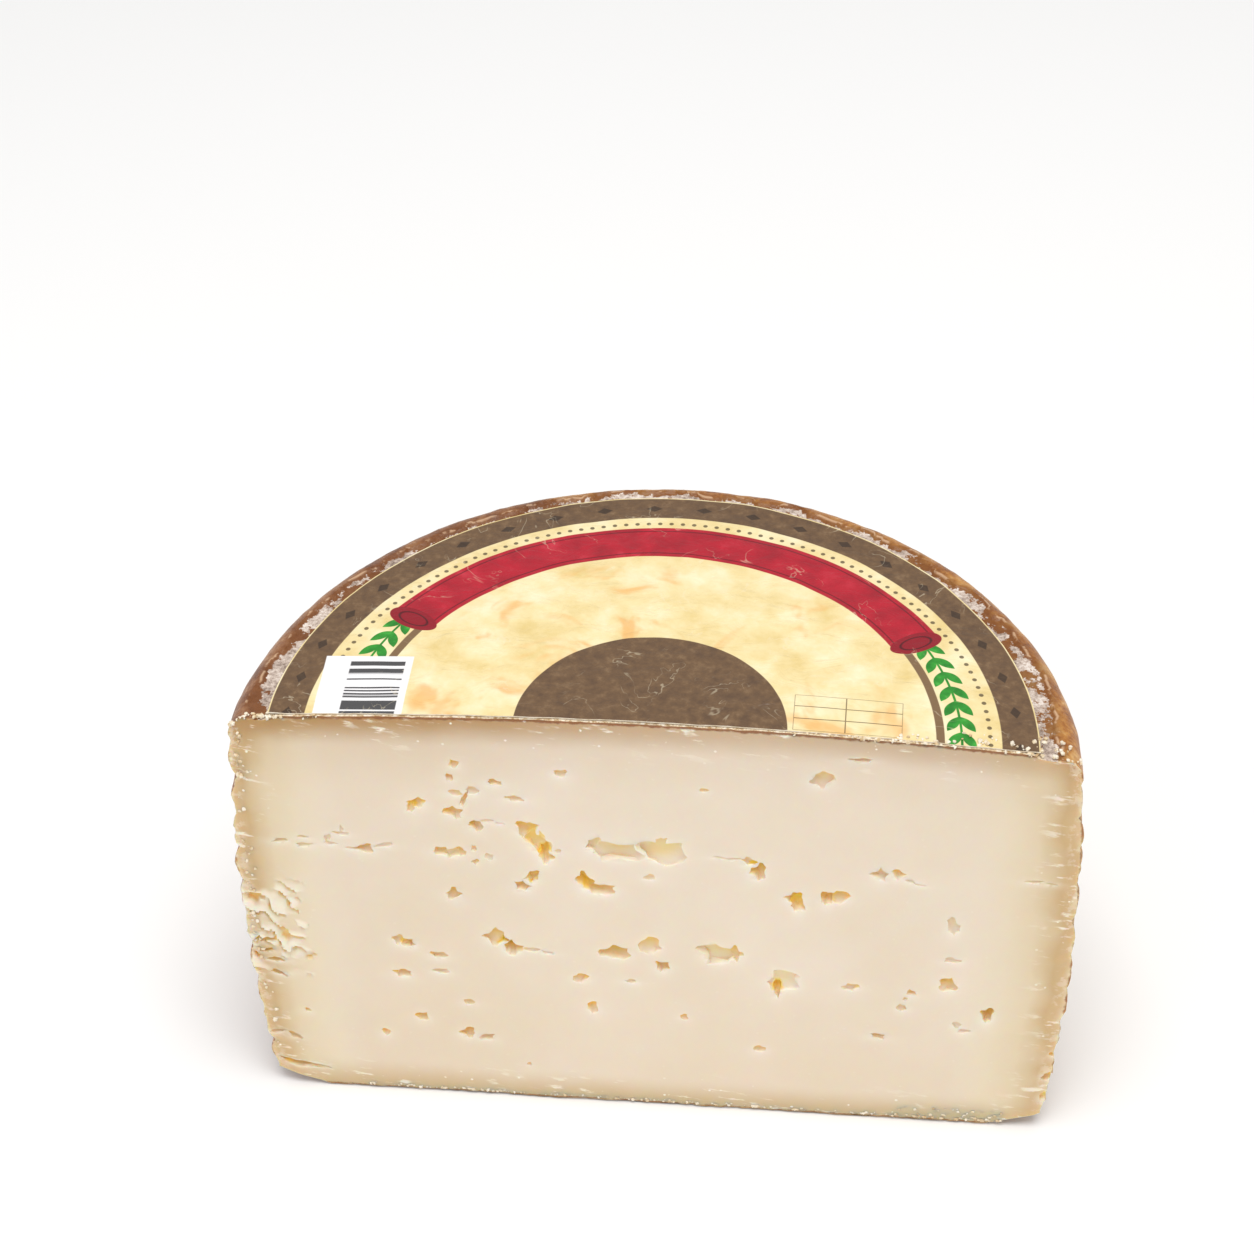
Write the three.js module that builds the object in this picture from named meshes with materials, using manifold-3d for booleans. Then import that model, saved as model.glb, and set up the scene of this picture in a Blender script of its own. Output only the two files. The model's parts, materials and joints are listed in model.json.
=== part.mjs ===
// Half of a small pressed cheese wheel, cut straight down through its middle, with the half of its round
// paper label that stays on it. Millimetres, +Z up. It stands on its own base with the cut face towards -Y,
// and the origin is under the middle of the half, on the surface that it stands on.
import * as THREE from "three";
import { mergeVertices } from "three/addons/utils/BufferGeometryUtils.js";
import Module from "manifold-3d";

const wasm = await Module();
wasm.setup();

// Driving dimensions of the whole wheel.
const WHEEL_RADIUS = 94; // at the belly, which is the widest ring
const WHEEL_HEIGHT = 120; // base to the crown of the domed top
const DOMING = 3.2; // how far the top falls from the crown to the shoulder
const AXIS_Y = -WHEEL_RADIUS / 2; // the wheel's axis and the cut face, in the part's frame
const SEGMENTS = 80; // round the whole wheel; a multiple of four puts a vertex on each axis

// The foot: a flat standing face, then a chamfer up to the side.
const FOOT_FLAT_RADIUS = 77;
const FOOT_RADIUS = 90.5;
const FOOT_HEIGHT = 4.5;

// The side: bands left by the plaited mould, a soft bulge between two narrow grooves, on a slight barrel.
const BAND_COUNT = 10;
const BAND_PITCH = 10.5;
const BAND_SHAPE = [
  { along: 0, depth: 1.1 },
  { along: 0.2, depth: 0.35 },
  { along: 0.5, depth: 0 },
  { along: 0.8, depth: 0.35 },
];
const BELLY_BAND = 5.5; // the crest that reaches the full radius, counted in bands from the foot
const BARREL_DROP = 3.1; // how far the side falls in over BARREL_REACH above or below the belly
const BARREL_REACH = 60;

// The shoulder: a quarter ellipse from the last band to the top.
const SHOULDER_WIDTH = 6.5;
const SHOULDER_STEPS = 4;
const TOP_STATIONS = [74, 58, 40, 20]; // radii of the rings that carry the dome

// The paper label follows the dome and stops a little behind the cut.
const LABEL_RADIUS = 82;
const LABEL_THICKNESS = 0.4;
const LABEL_GAP = 0.3;

// Openings between the curd grains that the cut has opened, as seen on the cut face.
// Each is [distance from the axis, height above the base, width, height of the opening].
const EYES = [
  [-43, 102, 3, 3.5], [-34, 101, 3.5, 2.5], [-19, 105, 3, 2.5], [-52, 93.5, 3.5, 4.5],
  [-41.5, 95, 4, 6], [-29.5, 96.5, 4, 2], [-38, 88, 3, 3.5], [-27, 87.5, 5, 5],
  [-24, 81, 3.5, 7], [-64, 79.5, 5, 2.5], [-45, 79.5, 6.5, 3], [-7, 83, 8, 6],
  [2, 84, 8, 7], [36.5, 107, 4.5, 4.5], [23, 78.5, 3.5, 6], [52, 80, 7, 3.5],
  [31.5, 70.5, 4.5, 5.5], [40, 72, 5.5, 4.5], [66.5, 66, 3, 5], [-27.5, 71, 4.5, 5.5],
  [-44.5, 66.5, 3.5, 3], [-12.5, 71, 7, 7.5], [-56.5, 50.5, 5, 4], [-49, 46, 3.5, 3],
  [-58, 39.5, 4, 3], [-34, 52, 7, 8], [-8.5, 50.5, 5.5, 4.5], [-0.5, 53.5, 4.5, 4.5],
  [2, 47, 3, 4], [-16.5, 41.5, 3.5, 3], [-42.5, 31.5, 3, 2.5], [-54, 25.5, 3, 3],
  [-14, 32, 2.5, 3], [-42, 20.5, 7, 3.5], [15.5, 52, 8, 6.5], [29, 43.5, 6.5, 7.5],
  [44.5, 44, 3.5, 2.5], [56.5, 38.5, 2.5, 3], [66.5, 46.5, 3.5, 4], [75.5, 37, 2.5, 5],
  [70, 32, 4, 4], [51.5, 28, 3, 2.5], [24.5, 21, 3, 3],
];
const EYE_DEPTH = 0.8; // depth behind the cut as a share of the opening's mean size
const EYE_POINTS = [1.35, 0.8]; // how far a cutter's corners reach, spikes and hollows in turn

// Finishes.
const PASTE = { color: 0xe8d9bd, roughness: 0.6, metalness: 0 };
const PAPER = { color: 0xecd9a0, roughness: 0.7, metalness: 0 };

// A small repeatable source of irregularity, from 0 to 1.
let seed = 17;
function random() {
  seed = (seed * 16807) % 2147483647;
  return seed / 2147483647;
}

function solid(geometry) {
  const bare = geometry.clone();
  bare.deleteAttribute("normal");
  bare.deleteAttribute("uv");
  const joined = mergeVertices(bare, 1e-3);
  return new wasm.Manifold(
    new wasm.Mesh({
      numProp: 3,
      vertProperties: joined.attributes.position.array,
      triVerts: new Uint32Array(joined.index.array),
    }),
  );
}

function geometryOf(body) {
  const mesh = body.getMesh();
  const geometry = new THREE.BufferGeometry();
  geometry.setAttribute("position", new THREE.BufferAttribute(mesh.vertProperties, mesh.numProp));
  geometry.setIndex(new THREE.BufferAttribute(mesh.triVerts, 1));
  geometry.computeVertexNormals();
  return geometry;
}

// A solid of revolution about the wheel's axis, from a profile of [radius, height] points.
function turned(profile) {
  const points = profile.map(([radius, height]) => new THREE.Vector2(radius, height));
  return solid(new THREE.LatheGeometry(points, SEGMENTS).rotateX(Math.PI / 2));
}

// Everything behind the plane that lies `behind` the cut.
function halfSpace(behind) {
  const box = new THREE.BoxGeometry(4 * WHEEL_RADIUS, 2 * WHEEL_RADIUS, 4 * WHEEL_HEIGHT);
  return solid(box.translate(0, WHEEL_RADIUS + behind, 0));
}

const topHeight = (radius) => WHEEL_HEIGHT - DOMING * (radius / LABEL_RADIUS) ** 2;

function sideRadius(height, depth) {
  const belly = FOOT_HEIGHT + BELLY_BAND * BAND_PITCH;
  return WHEEL_RADIUS - BARREL_DROP * ((height - belly) / BARREL_REACH) ** 2 - depth;
}

function wheelProfile() {
  const profile = [[0, 0], [FOOT_FLAT_RADIUS, 0], [FOOT_RADIUS - BAND_SHAPE[0].depth, FOOT_HEIGHT - 0.6]];
  for (let band = 0; band < BAND_COUNT; band += 1) {
    for (const { along, depth } of BAND_SHAPE) {
      const height = FOOT_HEIGHT + (band + along) * BAND_PITCH;
      profile.push([sideRadius(height, depth), height]);
    }
  }
  const shoulderStart = FOOT_HEIGHT + BAND_COUNT * BAND_PITCH;
  const outer = sideRadius(shoulderStart, 0);
  const rimRadius = outer - SHOULDER_WIDTH;
  const rise = topHeight(rimRadius) - shoulderStart;
  for (let step = 0; step <= SHOULDER_STEPS; step += 1) {
    const angle = (step / SHOULDER_STEPS) * (Math.PI / 2);
    profile.push([rimRadius + SHOULDER_WIDTH * Math.cos(angle), shoulderStart + rise * Math.sin(angle)]);
  }
  profile.push([LABEL_RADIUS, topHeight(LABEL_RADIUS)]);
  for (const radius of [...TOP_STATIONS, 0]) profile.push([radius, topHeight(radius)]);
  return profile;
}

// One opening: a small spiky solid centred on the cut face.
function eyeCutter([across, height, width, tall]) {
  const bare = new THREE.IcosahedronGeometry(1, 0);
  bare.deleteAttribute("normal");
  bare.deleteAttribute("uv");
  const shape = mergeVertices(bare, 1e-3);
  const corners = shape.attributes.position;
  for (let i = 0; i < corners.count; i += 1) {
    const reach = EYE_POINTS[i % 2] * (0.9 + 0.2 * random());
    corners.setXYZ(i, corners.getX(i) * reach, corners.getY(i) * reach, corners.getZ(i) * reach);
  }
  const deep = (EYE_DEPTH * (width + tall)) / 2;
  shape.rotateY(random() * Math.PI);
  shape.scale(width / 2, deep, tall / 2);
  shape.translate(across, 0, height);
  return solid(shape);
}

function cheeseHalf() {
  let half = turned(wheelProfile()).intersect(halfSpace(0));
  for (const eye of EYES) half = half.subtract(eyeCutter(eye));
  return geometryOf(half);
}

function paperLabel() {
  const stations = [0, ...[...TOP_STATIONS].reverse(), LABEL_RADIUS];
  const under = stations.map((radius) => [radius, topHeight(radius) + LABEL_GAP]);
  const over = under.map(([radius, height]) => [radius, height + LABEL_THICKNESS]).reverse();
  return geometryOf(turned([...under, ...over]).intersect(halfSpace(LABEL_GAP)));
}

function piece(name, geometry, finish) {
  const mesh = new THREE.Mesh(geometry, new THREE.MeshStandardMaterial(finish));
  mesh.name = name;
  mesh.position.y = AXIS_Y;
  return mesh;
}

const group = new THREE.Group();
group.add(piece("cheese_half", cheeseHalf(), PASTE));
group.add(piece("paper_label", paperLabel(), PAPER));

export default group;
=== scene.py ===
"""Half of a small pressed cheese wheel with its paper label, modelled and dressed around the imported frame."""

import json
import logging
import math
from dataclasses import dataclass, field
from enum import Enum

import bpy
import numpy as np
from mathutils import Matrix, Vector

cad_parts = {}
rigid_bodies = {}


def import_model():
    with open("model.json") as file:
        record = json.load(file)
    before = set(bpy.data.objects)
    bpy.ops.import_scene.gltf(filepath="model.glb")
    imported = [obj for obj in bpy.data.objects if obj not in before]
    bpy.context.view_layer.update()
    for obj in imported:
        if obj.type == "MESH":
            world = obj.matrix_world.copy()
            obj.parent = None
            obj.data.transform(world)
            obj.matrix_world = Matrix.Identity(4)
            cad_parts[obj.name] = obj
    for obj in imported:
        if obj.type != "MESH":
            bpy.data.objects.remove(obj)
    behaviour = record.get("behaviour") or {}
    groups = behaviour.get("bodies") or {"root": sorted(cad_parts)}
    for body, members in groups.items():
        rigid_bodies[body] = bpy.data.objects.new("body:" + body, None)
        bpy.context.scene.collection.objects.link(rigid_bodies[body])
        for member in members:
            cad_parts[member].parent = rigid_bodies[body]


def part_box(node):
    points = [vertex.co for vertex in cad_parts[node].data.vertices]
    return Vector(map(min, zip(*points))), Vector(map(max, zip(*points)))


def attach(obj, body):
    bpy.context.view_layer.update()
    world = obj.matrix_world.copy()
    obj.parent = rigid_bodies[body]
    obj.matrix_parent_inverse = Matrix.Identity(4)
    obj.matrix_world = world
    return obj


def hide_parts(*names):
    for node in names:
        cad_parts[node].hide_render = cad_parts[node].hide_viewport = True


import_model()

LOG = logging.getLogger("cheese_half")
MM = 0.001
CAD_LOW, CAD_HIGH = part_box("cheese_half")
LABEL_LOW, LABEL_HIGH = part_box("paper_label")
WHEEL_RADIUS = (CAD_HIGH.x - CAD_LOW.x) / 2 / MM
WHEEL_HEIGHT = (CAD_HIGH.z - CAD_LOW.z) / MM
LABEL_RADIUS = (LABEL_HIGH.x - LABEL_LOW.x) / 2 / MM
AXIS_Y = CAD_LOW.y / MM

Array = np.ndarray
Colour = tuple[float, float, float]
Socket = bpy.types.NodeSocket


def srgb(code: str) -> tuple[float, float, float, float]:
    """Turn a hexadecimal screen colour into a linear one.

    Args:
        code: Six hexadecimal digits.

    Returns:
        Red, green, blue and alpha.
    """
    parts = [int(code[i:i + 2], 16) / 255 for i in (0, 2, 4)]
    linear = [c / 12.92 if c <= 0.04045 else ((c + 0.055) / 1.055) ** 2.4 for c in parts]
    return (*linear, 1.0)


def smooth(value: Array, low: float, high: float) -> Array:
    """Rise smoothly from 0 at low to 1 at high.

    Args:
        value: Where to read the curve.
        low: The value that gives 0.
        high: The value that gives 1.

    Returns:
        The curve's height at each value.
    """
    t = np.clip((value - low) / (high - low), 0.0, 1.0)
    return t * t * (3.0 - 2.0 * t)


class Lattice:
    """Smooth repeatable noise between random values on a lattice."""

    def __init__(self, seed: int, size: int = 32) -> None:
        """Fill the lattice.

        Args:
            seed: Number that the random values grow from.
            size: Lattice points along each side.
        """
        self.size = size
        self.table = np.random.default_rng(seed).uniform(-1.0, 1.0, (size, size, size))

    def __call__(self, x: Array, y: Array, z: Array | float = 0.0) -> Array:
        """Read the noise.

        Args:
            x: First coordinate, one lattice cell per unit.
            y: Second coordinate.
            z: Third coordinate.

        Returns:
            Values from -1 to 1.
        """
        points = np.stack(np.broadcast_arrays(x, y, z)).astype(float)
        low = np.floor(points).astype(int)
        part = points - low
        part = part * part * (3.0 - 2.0 * part)
        total = np.zeros(points.shape[1:])
        for corner in range(8):
            bits = np.array([corner & 1, corner >> 1 & 1, corner >> 2 & 1])
            index = (low + bits[:, None]) % self.size
            share = np.prod(np.where(bits[:, None] == 1, part, 1.0 - part), axis=0)
            total += share * self.table[index[0], index[1], index[2]]
        return total

    def layers(self, x: Array, y: Array, z: Array | float = 0.0, count: int = 3) -> Array:
        """Add finer and weaker copies of the noise.

        Args:
            x: First coordinate.
            y: Second coordinate.
            z: Third coordinate.
            count: Number of copies, each twice as fine and half as strong.

        Returns:
            Values from about -1 to 1.
        """
        total = sum(self(x * 2**i + 7 * i, y * 2**i, z * 2**i if i else z) / 2**i for i in range(count))
        return total / (2.0 - 0.5 ** (count - 1))


class NodeGraph:
    """Short-hand for one material's node tree. Lengths inside a tree are in millimetres."""

    def __init__(self, name: str) -> None:
        """Make an empty material with a principled shader.

        Args:
            name: The material's name.
        """
        self.material = bpy.data.materials.new(name)
        self.material.use_nodes = True
        self.nodes = self.material.node_tree.nodes
        self.links = self.material.node_tree.links
        self.nodes.clear()
        self.shader = self.nodes.new("ShaderNodeBsdfPrincipled")
        output = self.nodes.new("ShaderNodeOutputMaterial")
        self.links.new(self.shader.outputs["BSDF"], output.inputs["Surface"])
        coordinates = self.nodes.new("ShaderNodeTexCoord")
        scaled = self.nodes.new("ShaderNodeVectorMath")
        scaled.operation = "SCALE"
        scaled.inputs["Scale"].default_value = 1.0 / MM
        self.links.new(coordinates.outputs["Object"], scaled.inputs[0])
        self.place = scaled.outputs["Vector"]
        split = self.nodes.new("ShaderNodeSeparateXYZ")
        self.links.new(self.place, split.inputs[0])
        self.x, self.y, self.z = split.outputs
        self.depth = self.math("SUBTRACT", self.y, AXIS_Y)

    def set(self, socket: Socket, value: "Socket | float | tuple") -> None:
        """Link a socket, or give it a fixed value.

        Args:
            socket: The socket.
            value: What it takes.
        """
        if isinstance(value, bpy.types.NodeSocket):
            self.links.new(value, socket)
        else:
            socket.default_value = value

    def math(self, operation: str, *values: "Socket | float", clamp: bool = False) -> Socket:
        """Add a Math node.

        Args:
            operation: Blender's name of the operation.
            *values: Its inputs in order.
            clamp: Whether to hold the result between 0 and 1.

        Returns:
            The result.
        """
        node = self.nodes.new("ShaderNodeMath")
        node.operation = operation
        node.use_clamp = clamp
        for socket, value in zip(node.inputs, values):
            self.set(socket, value)
        return node.outputs[0]

    def total(self, *values: "Socket | float") -> Socket:
        """Add several values.

        Args:
            *values: The values.

        Returns:
            Their sum.
        """
        result = values[0]
        for value in values[1:]:
            result = self.math("ADD", result, value)
        return result

    def product(self, *values: "Socket | float") -> Socket:
        """Multiply several values.

        Args:
            *values: The values.

        Returns:
            Their product.
        """
        result = values[0]
        for value in values[1:]:
            result = self.math("MULTIPLY", result, value)
        return result

    def largest(self, *values: "Socket | float") -> Socket:
        """Keep the largest of several values.

        Args:
            *values: The values.

        Returns:
            The largest.
        """
        result = values[0]
        for value in values[1:]:
            result = self.math("MAXIMUM", result, value)
        return result

    def rise(self, value: "Socket | float", low: float, high: float) -> Socket:
        """Go smoothly from 0 at low to 1 at high, or down if high is the lower one.

        Args:
            value: The value to read.
            low: Where the result is 0.
            high: Where the result is 1.

        Returns:
            The result, from 0 to 1.
        """
        node = self.nodes.new("ShaderNodeMapRange")
        node.interpolation_type = "SMOOTHSTEP"
        self.set(node.inputs["Value"], value)
        start, end = (0.0, 1.0) if low < high else (1.0, 0.0)
        self.set(node.inputs["From Min"], min(low, high))
        self.set(node.inputs["From Max"], max(low, high))
        self.set(node.inputs["To Min"], start)
        self.set(node.inputs["To Max"], end)
        return node.outputs["Result"]

    def band(self, value: "Socket | float", low: float, high: float, soft: float = 0.12) -> Socket:
        """Give 1 between two limits and 0 outside them.

        Args:
            value: The value to read.
            low: Lower limit.
            high: Upper limit.
            soft: Width of each edge.

        Returns:
            The result, from 0 to 1.
        """
        up = self.rise(value, low - soft, low + soft)
        return self.product(up, self.rise(value, high + soft, high - soft))

    def vector(self, x: "Socket | float", y: "Socket | float", z: "Socket | float") -> Socket:
        """Join three values to a vector.

        Args:
            x: First value.
            y: Second value.
            z: Third value.

        Returns:
            The vector.
        """
        node = self.nodes.new("ShaderNodeCombineXYZ")
        for socket, value in zip(node.inputs, (x, y, z)):
            self.set(socket, value)
        return node.outputs[0]

    def noise(self, place: Socket, size: float, detail: float = 2.0, rough: float = 0.5,
              warp: float = 0.0) -> Socket:
        """Add a noise texture.

        Args:
            place: Where to read it.
            size: Size of its features, in the units of place.
            detail: Finer layers.
            rough: Strength of the finer layers.
            warp: Distortion.

        Returns:
            Values round 0.5.
        """
        node = self.nodes.new("ShaderNodeTexNoise")
        self.set(node.inputs["Vector"], place)
        self.set(node.inputs["Scale"], 1.0 / size)
        self.set(node.inputs["Detail"], detail)
        self.set(node.inputs["Roughness"], rough)
        self.set(node.inputs["Distortion"], warp)
        return node.outputs["Fac"]

    def cells(self, place: Socket, size: float, feature: str = "F1") -> Socket:
        """Add a cell texture.

        Args:
            place: Where to read it.
            size: Size of a cell, in the units of place.
            feature: Blender's name of what is measured.

        Returns:
            The distance, in cells.
        """
        node = self.nodes.new("ShaderNodeTexVoronoi")
        node.feature = feature
        self.set(node.inputs["Vector"], place)
        self.set(node.inputs["Scale"], 1.0 / size)
        return node.outputs["Distance"]

    def mark(self, name: str) -> Socket:
        """Read a number that the mesh carries on its vertices.

        Args:
            name: Name of the mark.

        Returns:
            The number.
        """
        node = self.nodes.new("ShaderNodeAttribute")
        node.attribute_name = name
        return node.outputs["Fac"]

    def ramp(self, value: Socket, *stops: tuple[float, str]) -> Socket:
        """Colour a value.

        Args:
            value: The value to colour, from 0 to 1.
            *stops: Pairs of place and colour code, in order.

        Returns:
            The colour.
        """
        node = self.nodes.new("ShaderNodeValToRGB")
        elements = node.color_ramp.elements
        while len(elements) < len(stops):
            elements.new(0.5)
        for element, (place, code) in zip(elements, stops):
            element.position = place
            element.color = srgb(code)
        self.set(node.inputs["Fac"], value)
        return node.outputs["Color"]

    def mix(self, share: "Socket | float", below: "Socket | str", above: "Socket | str",
            blend: str = "MIX") -> Socket:
        """Lay one colour over another.

        Args:
            share: How much of the upper colour shows.
            below: Lower colour, or its code.
            above: Upper colour, or its code.
            blend: Blender's name of the blend.

        Returns:
            The colour.
        """
        node = self.nodes.new("ShaderNodeMix")
        node.data_type = "RGBA"
        node.blend_type = blend
        node.clamp_factor = True
        self.set(node.inputs[0], share)
        self.set(node.inputs[6], srgb(below) if isinstance(below, str) else below)
        self.set(node.inputs[7], srgb(above) if isinstance(above, str) else above)
        return node.outputs[2]

    def bump(self, height: Socket, distance: float, strength: float = 1.0,
             under: Socket | None = None) -> Socket:
        """Turn a height into a tilted normal.

        Args:
            height: Height, from 0 to 1.
            distance: What a height of 1 stands for, in millimetres.
            strength: Share of the effect.
            under: A normal to start from.

        Returns:
            The normal.
        """
        node = self.nodes.new("ShaderNodeBump")
        self.set(node.inputs["Strength"], strength)
        self.set(node.inputs["Distance"], distance * MM)
        self.set(node.inputs["Height"], height)
        if under is not None:
            self.set(node.inputs["Normal"], under)
        return node.outputs["Normal"]

    def polar(self) -> tuple[Socket, Socket]:
        """Measure round the wheel's axis.

        Returns:
            Distance from the axis, and angle from straight back in radians, positive towards +X.
        """
        squares = self.total(self.product(self.x, self.x), self.product(self.depth, self.depth))
        return self.math("SQRT", squares), self.math("ARCTAN2", self.x, self.depth)


@dataclass(frozen=True)
class WheelForm:
    """The wheel's outline, in millimetres from the axis and the base."""

    doming: float = 3.2
    foot_flat: float = 77.0
    foot_radius: float = 90.2
    foot_height: float = 4.5
    side_height: float = 105.0
    barrel_drop: float = 3.1
    barrel_reach: float = 60.0
    belly: float = 62.25
    shoulder_width: float = 6.5
    skin: float = 0.15

    def top(self, radius: Array) -> Array:
        """Height of the domed top at a radius."""
        return WHEEL_HEIGHT - self.doming * (radius / LABEL_RADIUS) ** 2

    def side(self, height: Array) -> Array:
        """Radius of the side at a height."""
        drop = self.barrel_drop * ((height - self.belly) / self.barrel_reach) ** 2
        return WHEEL_RADIUS - self.skin - drop

    def shoulder(self, angle: Array) -> tuple[Array, Array]:
        """Place on the rounded shoulder.

        Args:
            angle: 0 at the side, a right angle at the top, in radians.

        Returns:
            Radius and height.
        """
        start = self.foot_height + self.side_height
        inner = self.side(start) - self.shoulder_width
        rise = self.top(inner) - start
        return inner + self.shoulder_width * np.cos(angle), start + rise * np.sin(angle)

    def right_edge(self, share: Array) -> tuple[Array, Array]:
        """Walk up the side and half the shoulder.

        Args:
            share: 0 at the foot's lip, 1 in the middle of the shoulder.

        Returns:
            Radius and height.
        """
        arc = self.shoulder_width
        walked = share * (self.side_height + arc)
        height = self.foot_height + np.minimum(walked, self.side_height)
        angle = np.maximum(walked - self.side_height, 0.0) / arc * math.pi / 4
        over_radius, over_height = self.shoulder(angle)
        on_side = walked <= self.side_height
        lip = smooth(height, self.foot_height, self.foot_height + 6.0)
        radius = self.side(height) * lip + self.foot_radius * (1.0 - lip)
        return np.where(on_side, radius, over_radius), np.where(on_side, height, over_height)

    def top_edge(self, share: Array) -> tuple[Array, Array]:
        """Walk out along the top and the other half of the shoulder.

        Args:
            share: 0 on the axis, 1 in the middle of the shoulder.

        Returns:
            Radius and height.
        """
        inner, _ = self.shoulder(np.array(math.pi / 2))
        walked = share * (inner + self.shoulder_width)
        angle = math.pi / 2 - np.maximum(walked - inner, 0.0) / self.shoulder_width * math.pi / 4
        over_radius, over_height = self.shoulder(angle)
        on_top = walked <= inner
        return np.where(on_top, walked, over_radius), np.where(on_top, self.top(walked), over_height)

    def base_edge(self, share: Array) -> tuple[Array, Array]:
        """Walk out along the base and up the foot's chamfer.

        Args:
            share: 0 on the axis, 1 on the foot's lip.

        Returns:
            Radius and height.
        """
        radius = share * self.foot_radius
        climb = np.maximum(radius - self.foot_flat, 0.0) / (self.foot_radius - self.foot_flat)
        return radius, climb * self.foot_height


FORM = WheelForm()


class Mesh:
    """Helpers that work on one object's mesh with Blender's own operators."""

    @staticmethod
    def clear_selection() -> None:
        """Leave nothing selected."""
        for thing in bpy.context.view_layer.objects:
            thing.select_set(False)

    @staticmethod
    def only(piece: bpy.types.Object) -> None:
        """Select one object and make it active."""
        Mesh.clear_selection()
        piece.select_set(True)
        bpy.context.view_layer.objects.active = piece

    @staticmethod
    def points(piece: bpy.types.Object) -> Array:
        """Read the vertices, in millimetres, one row each.

        Args:
            piece: The object.

        Returns:
            Their places.
        """
        flat = np.empty(len(piece.data.vertices) * 3)
        piece.data.vertices.foreach_get("co", flat)
        return flat.reshape(-1, 3) / MM

    @staticmethod
    def put(piece: bpy.types.Object, points: Array) -> None:
        """Write the vertices back, from millimetres."""
        piece.data.vertices.foreach_set("co", (points * MM).ravel())
        piece.data.update()

    @staticmethod
    def section(name: str, columns: int, rows: int) -> bpy.types.Object:
        """Add a flat grid of unit size to be shaped as the wheel's section.

        Args:
            name: The object's name.
            columns: Faces from the axis outwards.
            rows: Faces from the base upwards.

        Returns:
            The grid, from 0 to 1 along x and y.
        """
        Mesh.clear_selection()
        bpy.ops.mesh.primitive_grid_add(x_subdivisions=columns, y_subdivisions=rows, size=1.0)
        grid = bpy.context.object
        grid.name = grid.data.name = name
        bpy.ops.object.mode_set(mode="EDIT")
        bpy.ops.transform.translate(value=(0.5, 0.5, 0.0))
        bpy.ops.object.mode_set(mode="OBJECT")
        return grid

    @staticmethod
    def turn(piece: bpy.types.Object, steps: int) -> None:
        """Spin a section by half a turn round the wheel's axis and close the result.

        Args:
            piece: The section, in the plane of the cut.
            steps: Steps in the half turn.
        """
        Mesh.only(piece)
        bpy.ops.object.mode_set(mode="EDIT")
        bpy.ops.mesh.select_all(action="SELECT")
        bpy.ops.mesh.spin(steps=steps, angle=-math.pi, center=(0.0, AXIS_Y * MM, 0.0), axis=(0.0, 0.0, 1.0))
        bpy.ops.mesh.select_all(action="SELECT")
        bpy.ops.mesh.remove_doubles(threshold=0.00001)
        bpy.ops.mesh.normals_make_consistent(inside=False)
        bpy.ops.object.mode_set(mode="OBJECT")

    @staticmethod
    def edge_ends(piece: bpy.types.Object) -> Array:
        """Read the two vertices of each edge, one row each.

        Args:
            piece: The object.

        Returns:
            Their indices.
        """
        ends = np.empty(len(piece.data.edges) * 2, dtype=int)
        piece.data.edges.foreach_get("vertices", ends)
        return ends.reshape(-1, 2)

    @staticmethod
    def split_edges(piece: bpy.types.Object, chosen: Array, cuts: int) -> None:
        """Cut some edges, and the faces between them, into equal parts.

        Args:
            piece: The object.
            chosen: True for each edge to cut.
            cuts: Cuts in each edge.
        """
        Mesh.only(piece)
        bpy.ops.object.mode_set(mode="EDIT")
        bpy.ops.mesh.select_mode(type="EDGE")
        bpy.ops.mesh.select_all(action="DESELECT")
        bpy.ops.object.mode_set(mode="OBJECT")
        piece.data.edges.foreach_set("select", chosen)
        bpy.ops.object.mode_set(mode="EDIT")
        bpy.ops.mesh.subdivide(number_cuts=cuts)
        bpy.ops.mesh.select_mode(type="VERT")
        bpy.ops.object.mode_set(mode="OBJECT")

    @staticmethod
    def split_rings(piece: bpy.types.Object, cuts: int) -> None:
        """Cut the edges that run round the axis, which is quicker than more steps in the spin.

        Args:
            piece: The object.
            cuts: Cuts in each edge.
        """
        p = Mesh.points(piece)
        ring = np.stack([np.hypot(p[:, 0], p[:, 1] - AXIS_Y), p[:, 2]], axis=1)
        ends = Mesh.edge_ends(piece)
        level = np.abs(ring[ends[:, 0]] - ring[ends[:, 1]]).max(axis=1) < 0.002
        Mesh.split_edges(piece, level & (ring[ends[:, 0], 0] > 0.1), cuts)

    @staticmethod
    def mark(piece: bpy.types.Object, name: str, values: Array) -> None:
        """Leave a number on each vertex, for a material to read.

        Args:
            piece: The object.
            name: Name of the mark.
            values: One number for each vertex.
        """
        layer = piece.data.attributes.get(name) or piece.data.attributes.new(name, "FLOAT", "POINT")
        layer.data.foreach_set("value", values.astype(np.float32))

    @staticmethod
    def apply(piece: bpy.types.Object, modifier: bpy.types.Modifier) -> None:
        """Apply a modifier."""
        Mesh.only(piece)
        bpy.ops.object.modifier_apply(modifier=modifier.name)

    @staticmethod
    def join(pieces: list[bpy.types.Object], name: str) -> bpy.types.Object:
        """Join objects.

        Args:
            pieces: The objects.
            name: Name of the result.

        Returns:
            The joined object.
        """
        Mesh.clear_selection()
        for piece in pieces:
            piece.select_set(True)
        bpy.context.view_layer.objects.active = pieces[0]
        if len(pieces) > 1:
            bpy.ops.object.join()
        joined = bpy.context.object
        joined.name = joined.data.name = name
        return joined

    @staticmethod
    def settle(piece: bpy.types.Object) -> None:
        """Put the object at the origin, unturned and unscaled, with its place in its mesh."""
        Mesh.only(piece)
        bpy.ops.object.transform_apply(location=True, rotation=True, scale=True)


class Shade(Enum):
    """Main colours of the paste, from its ivory middle to the skin at its edge; the straw and gold are painted
    glow and shade for the openings.
    """

    CORE = "ebddcb"
    CORE_WARM = "e8d9c3"
    SKIN = "875632"
    STRAW = "fae5ae"
    GOLD = "ffd65a"


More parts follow.
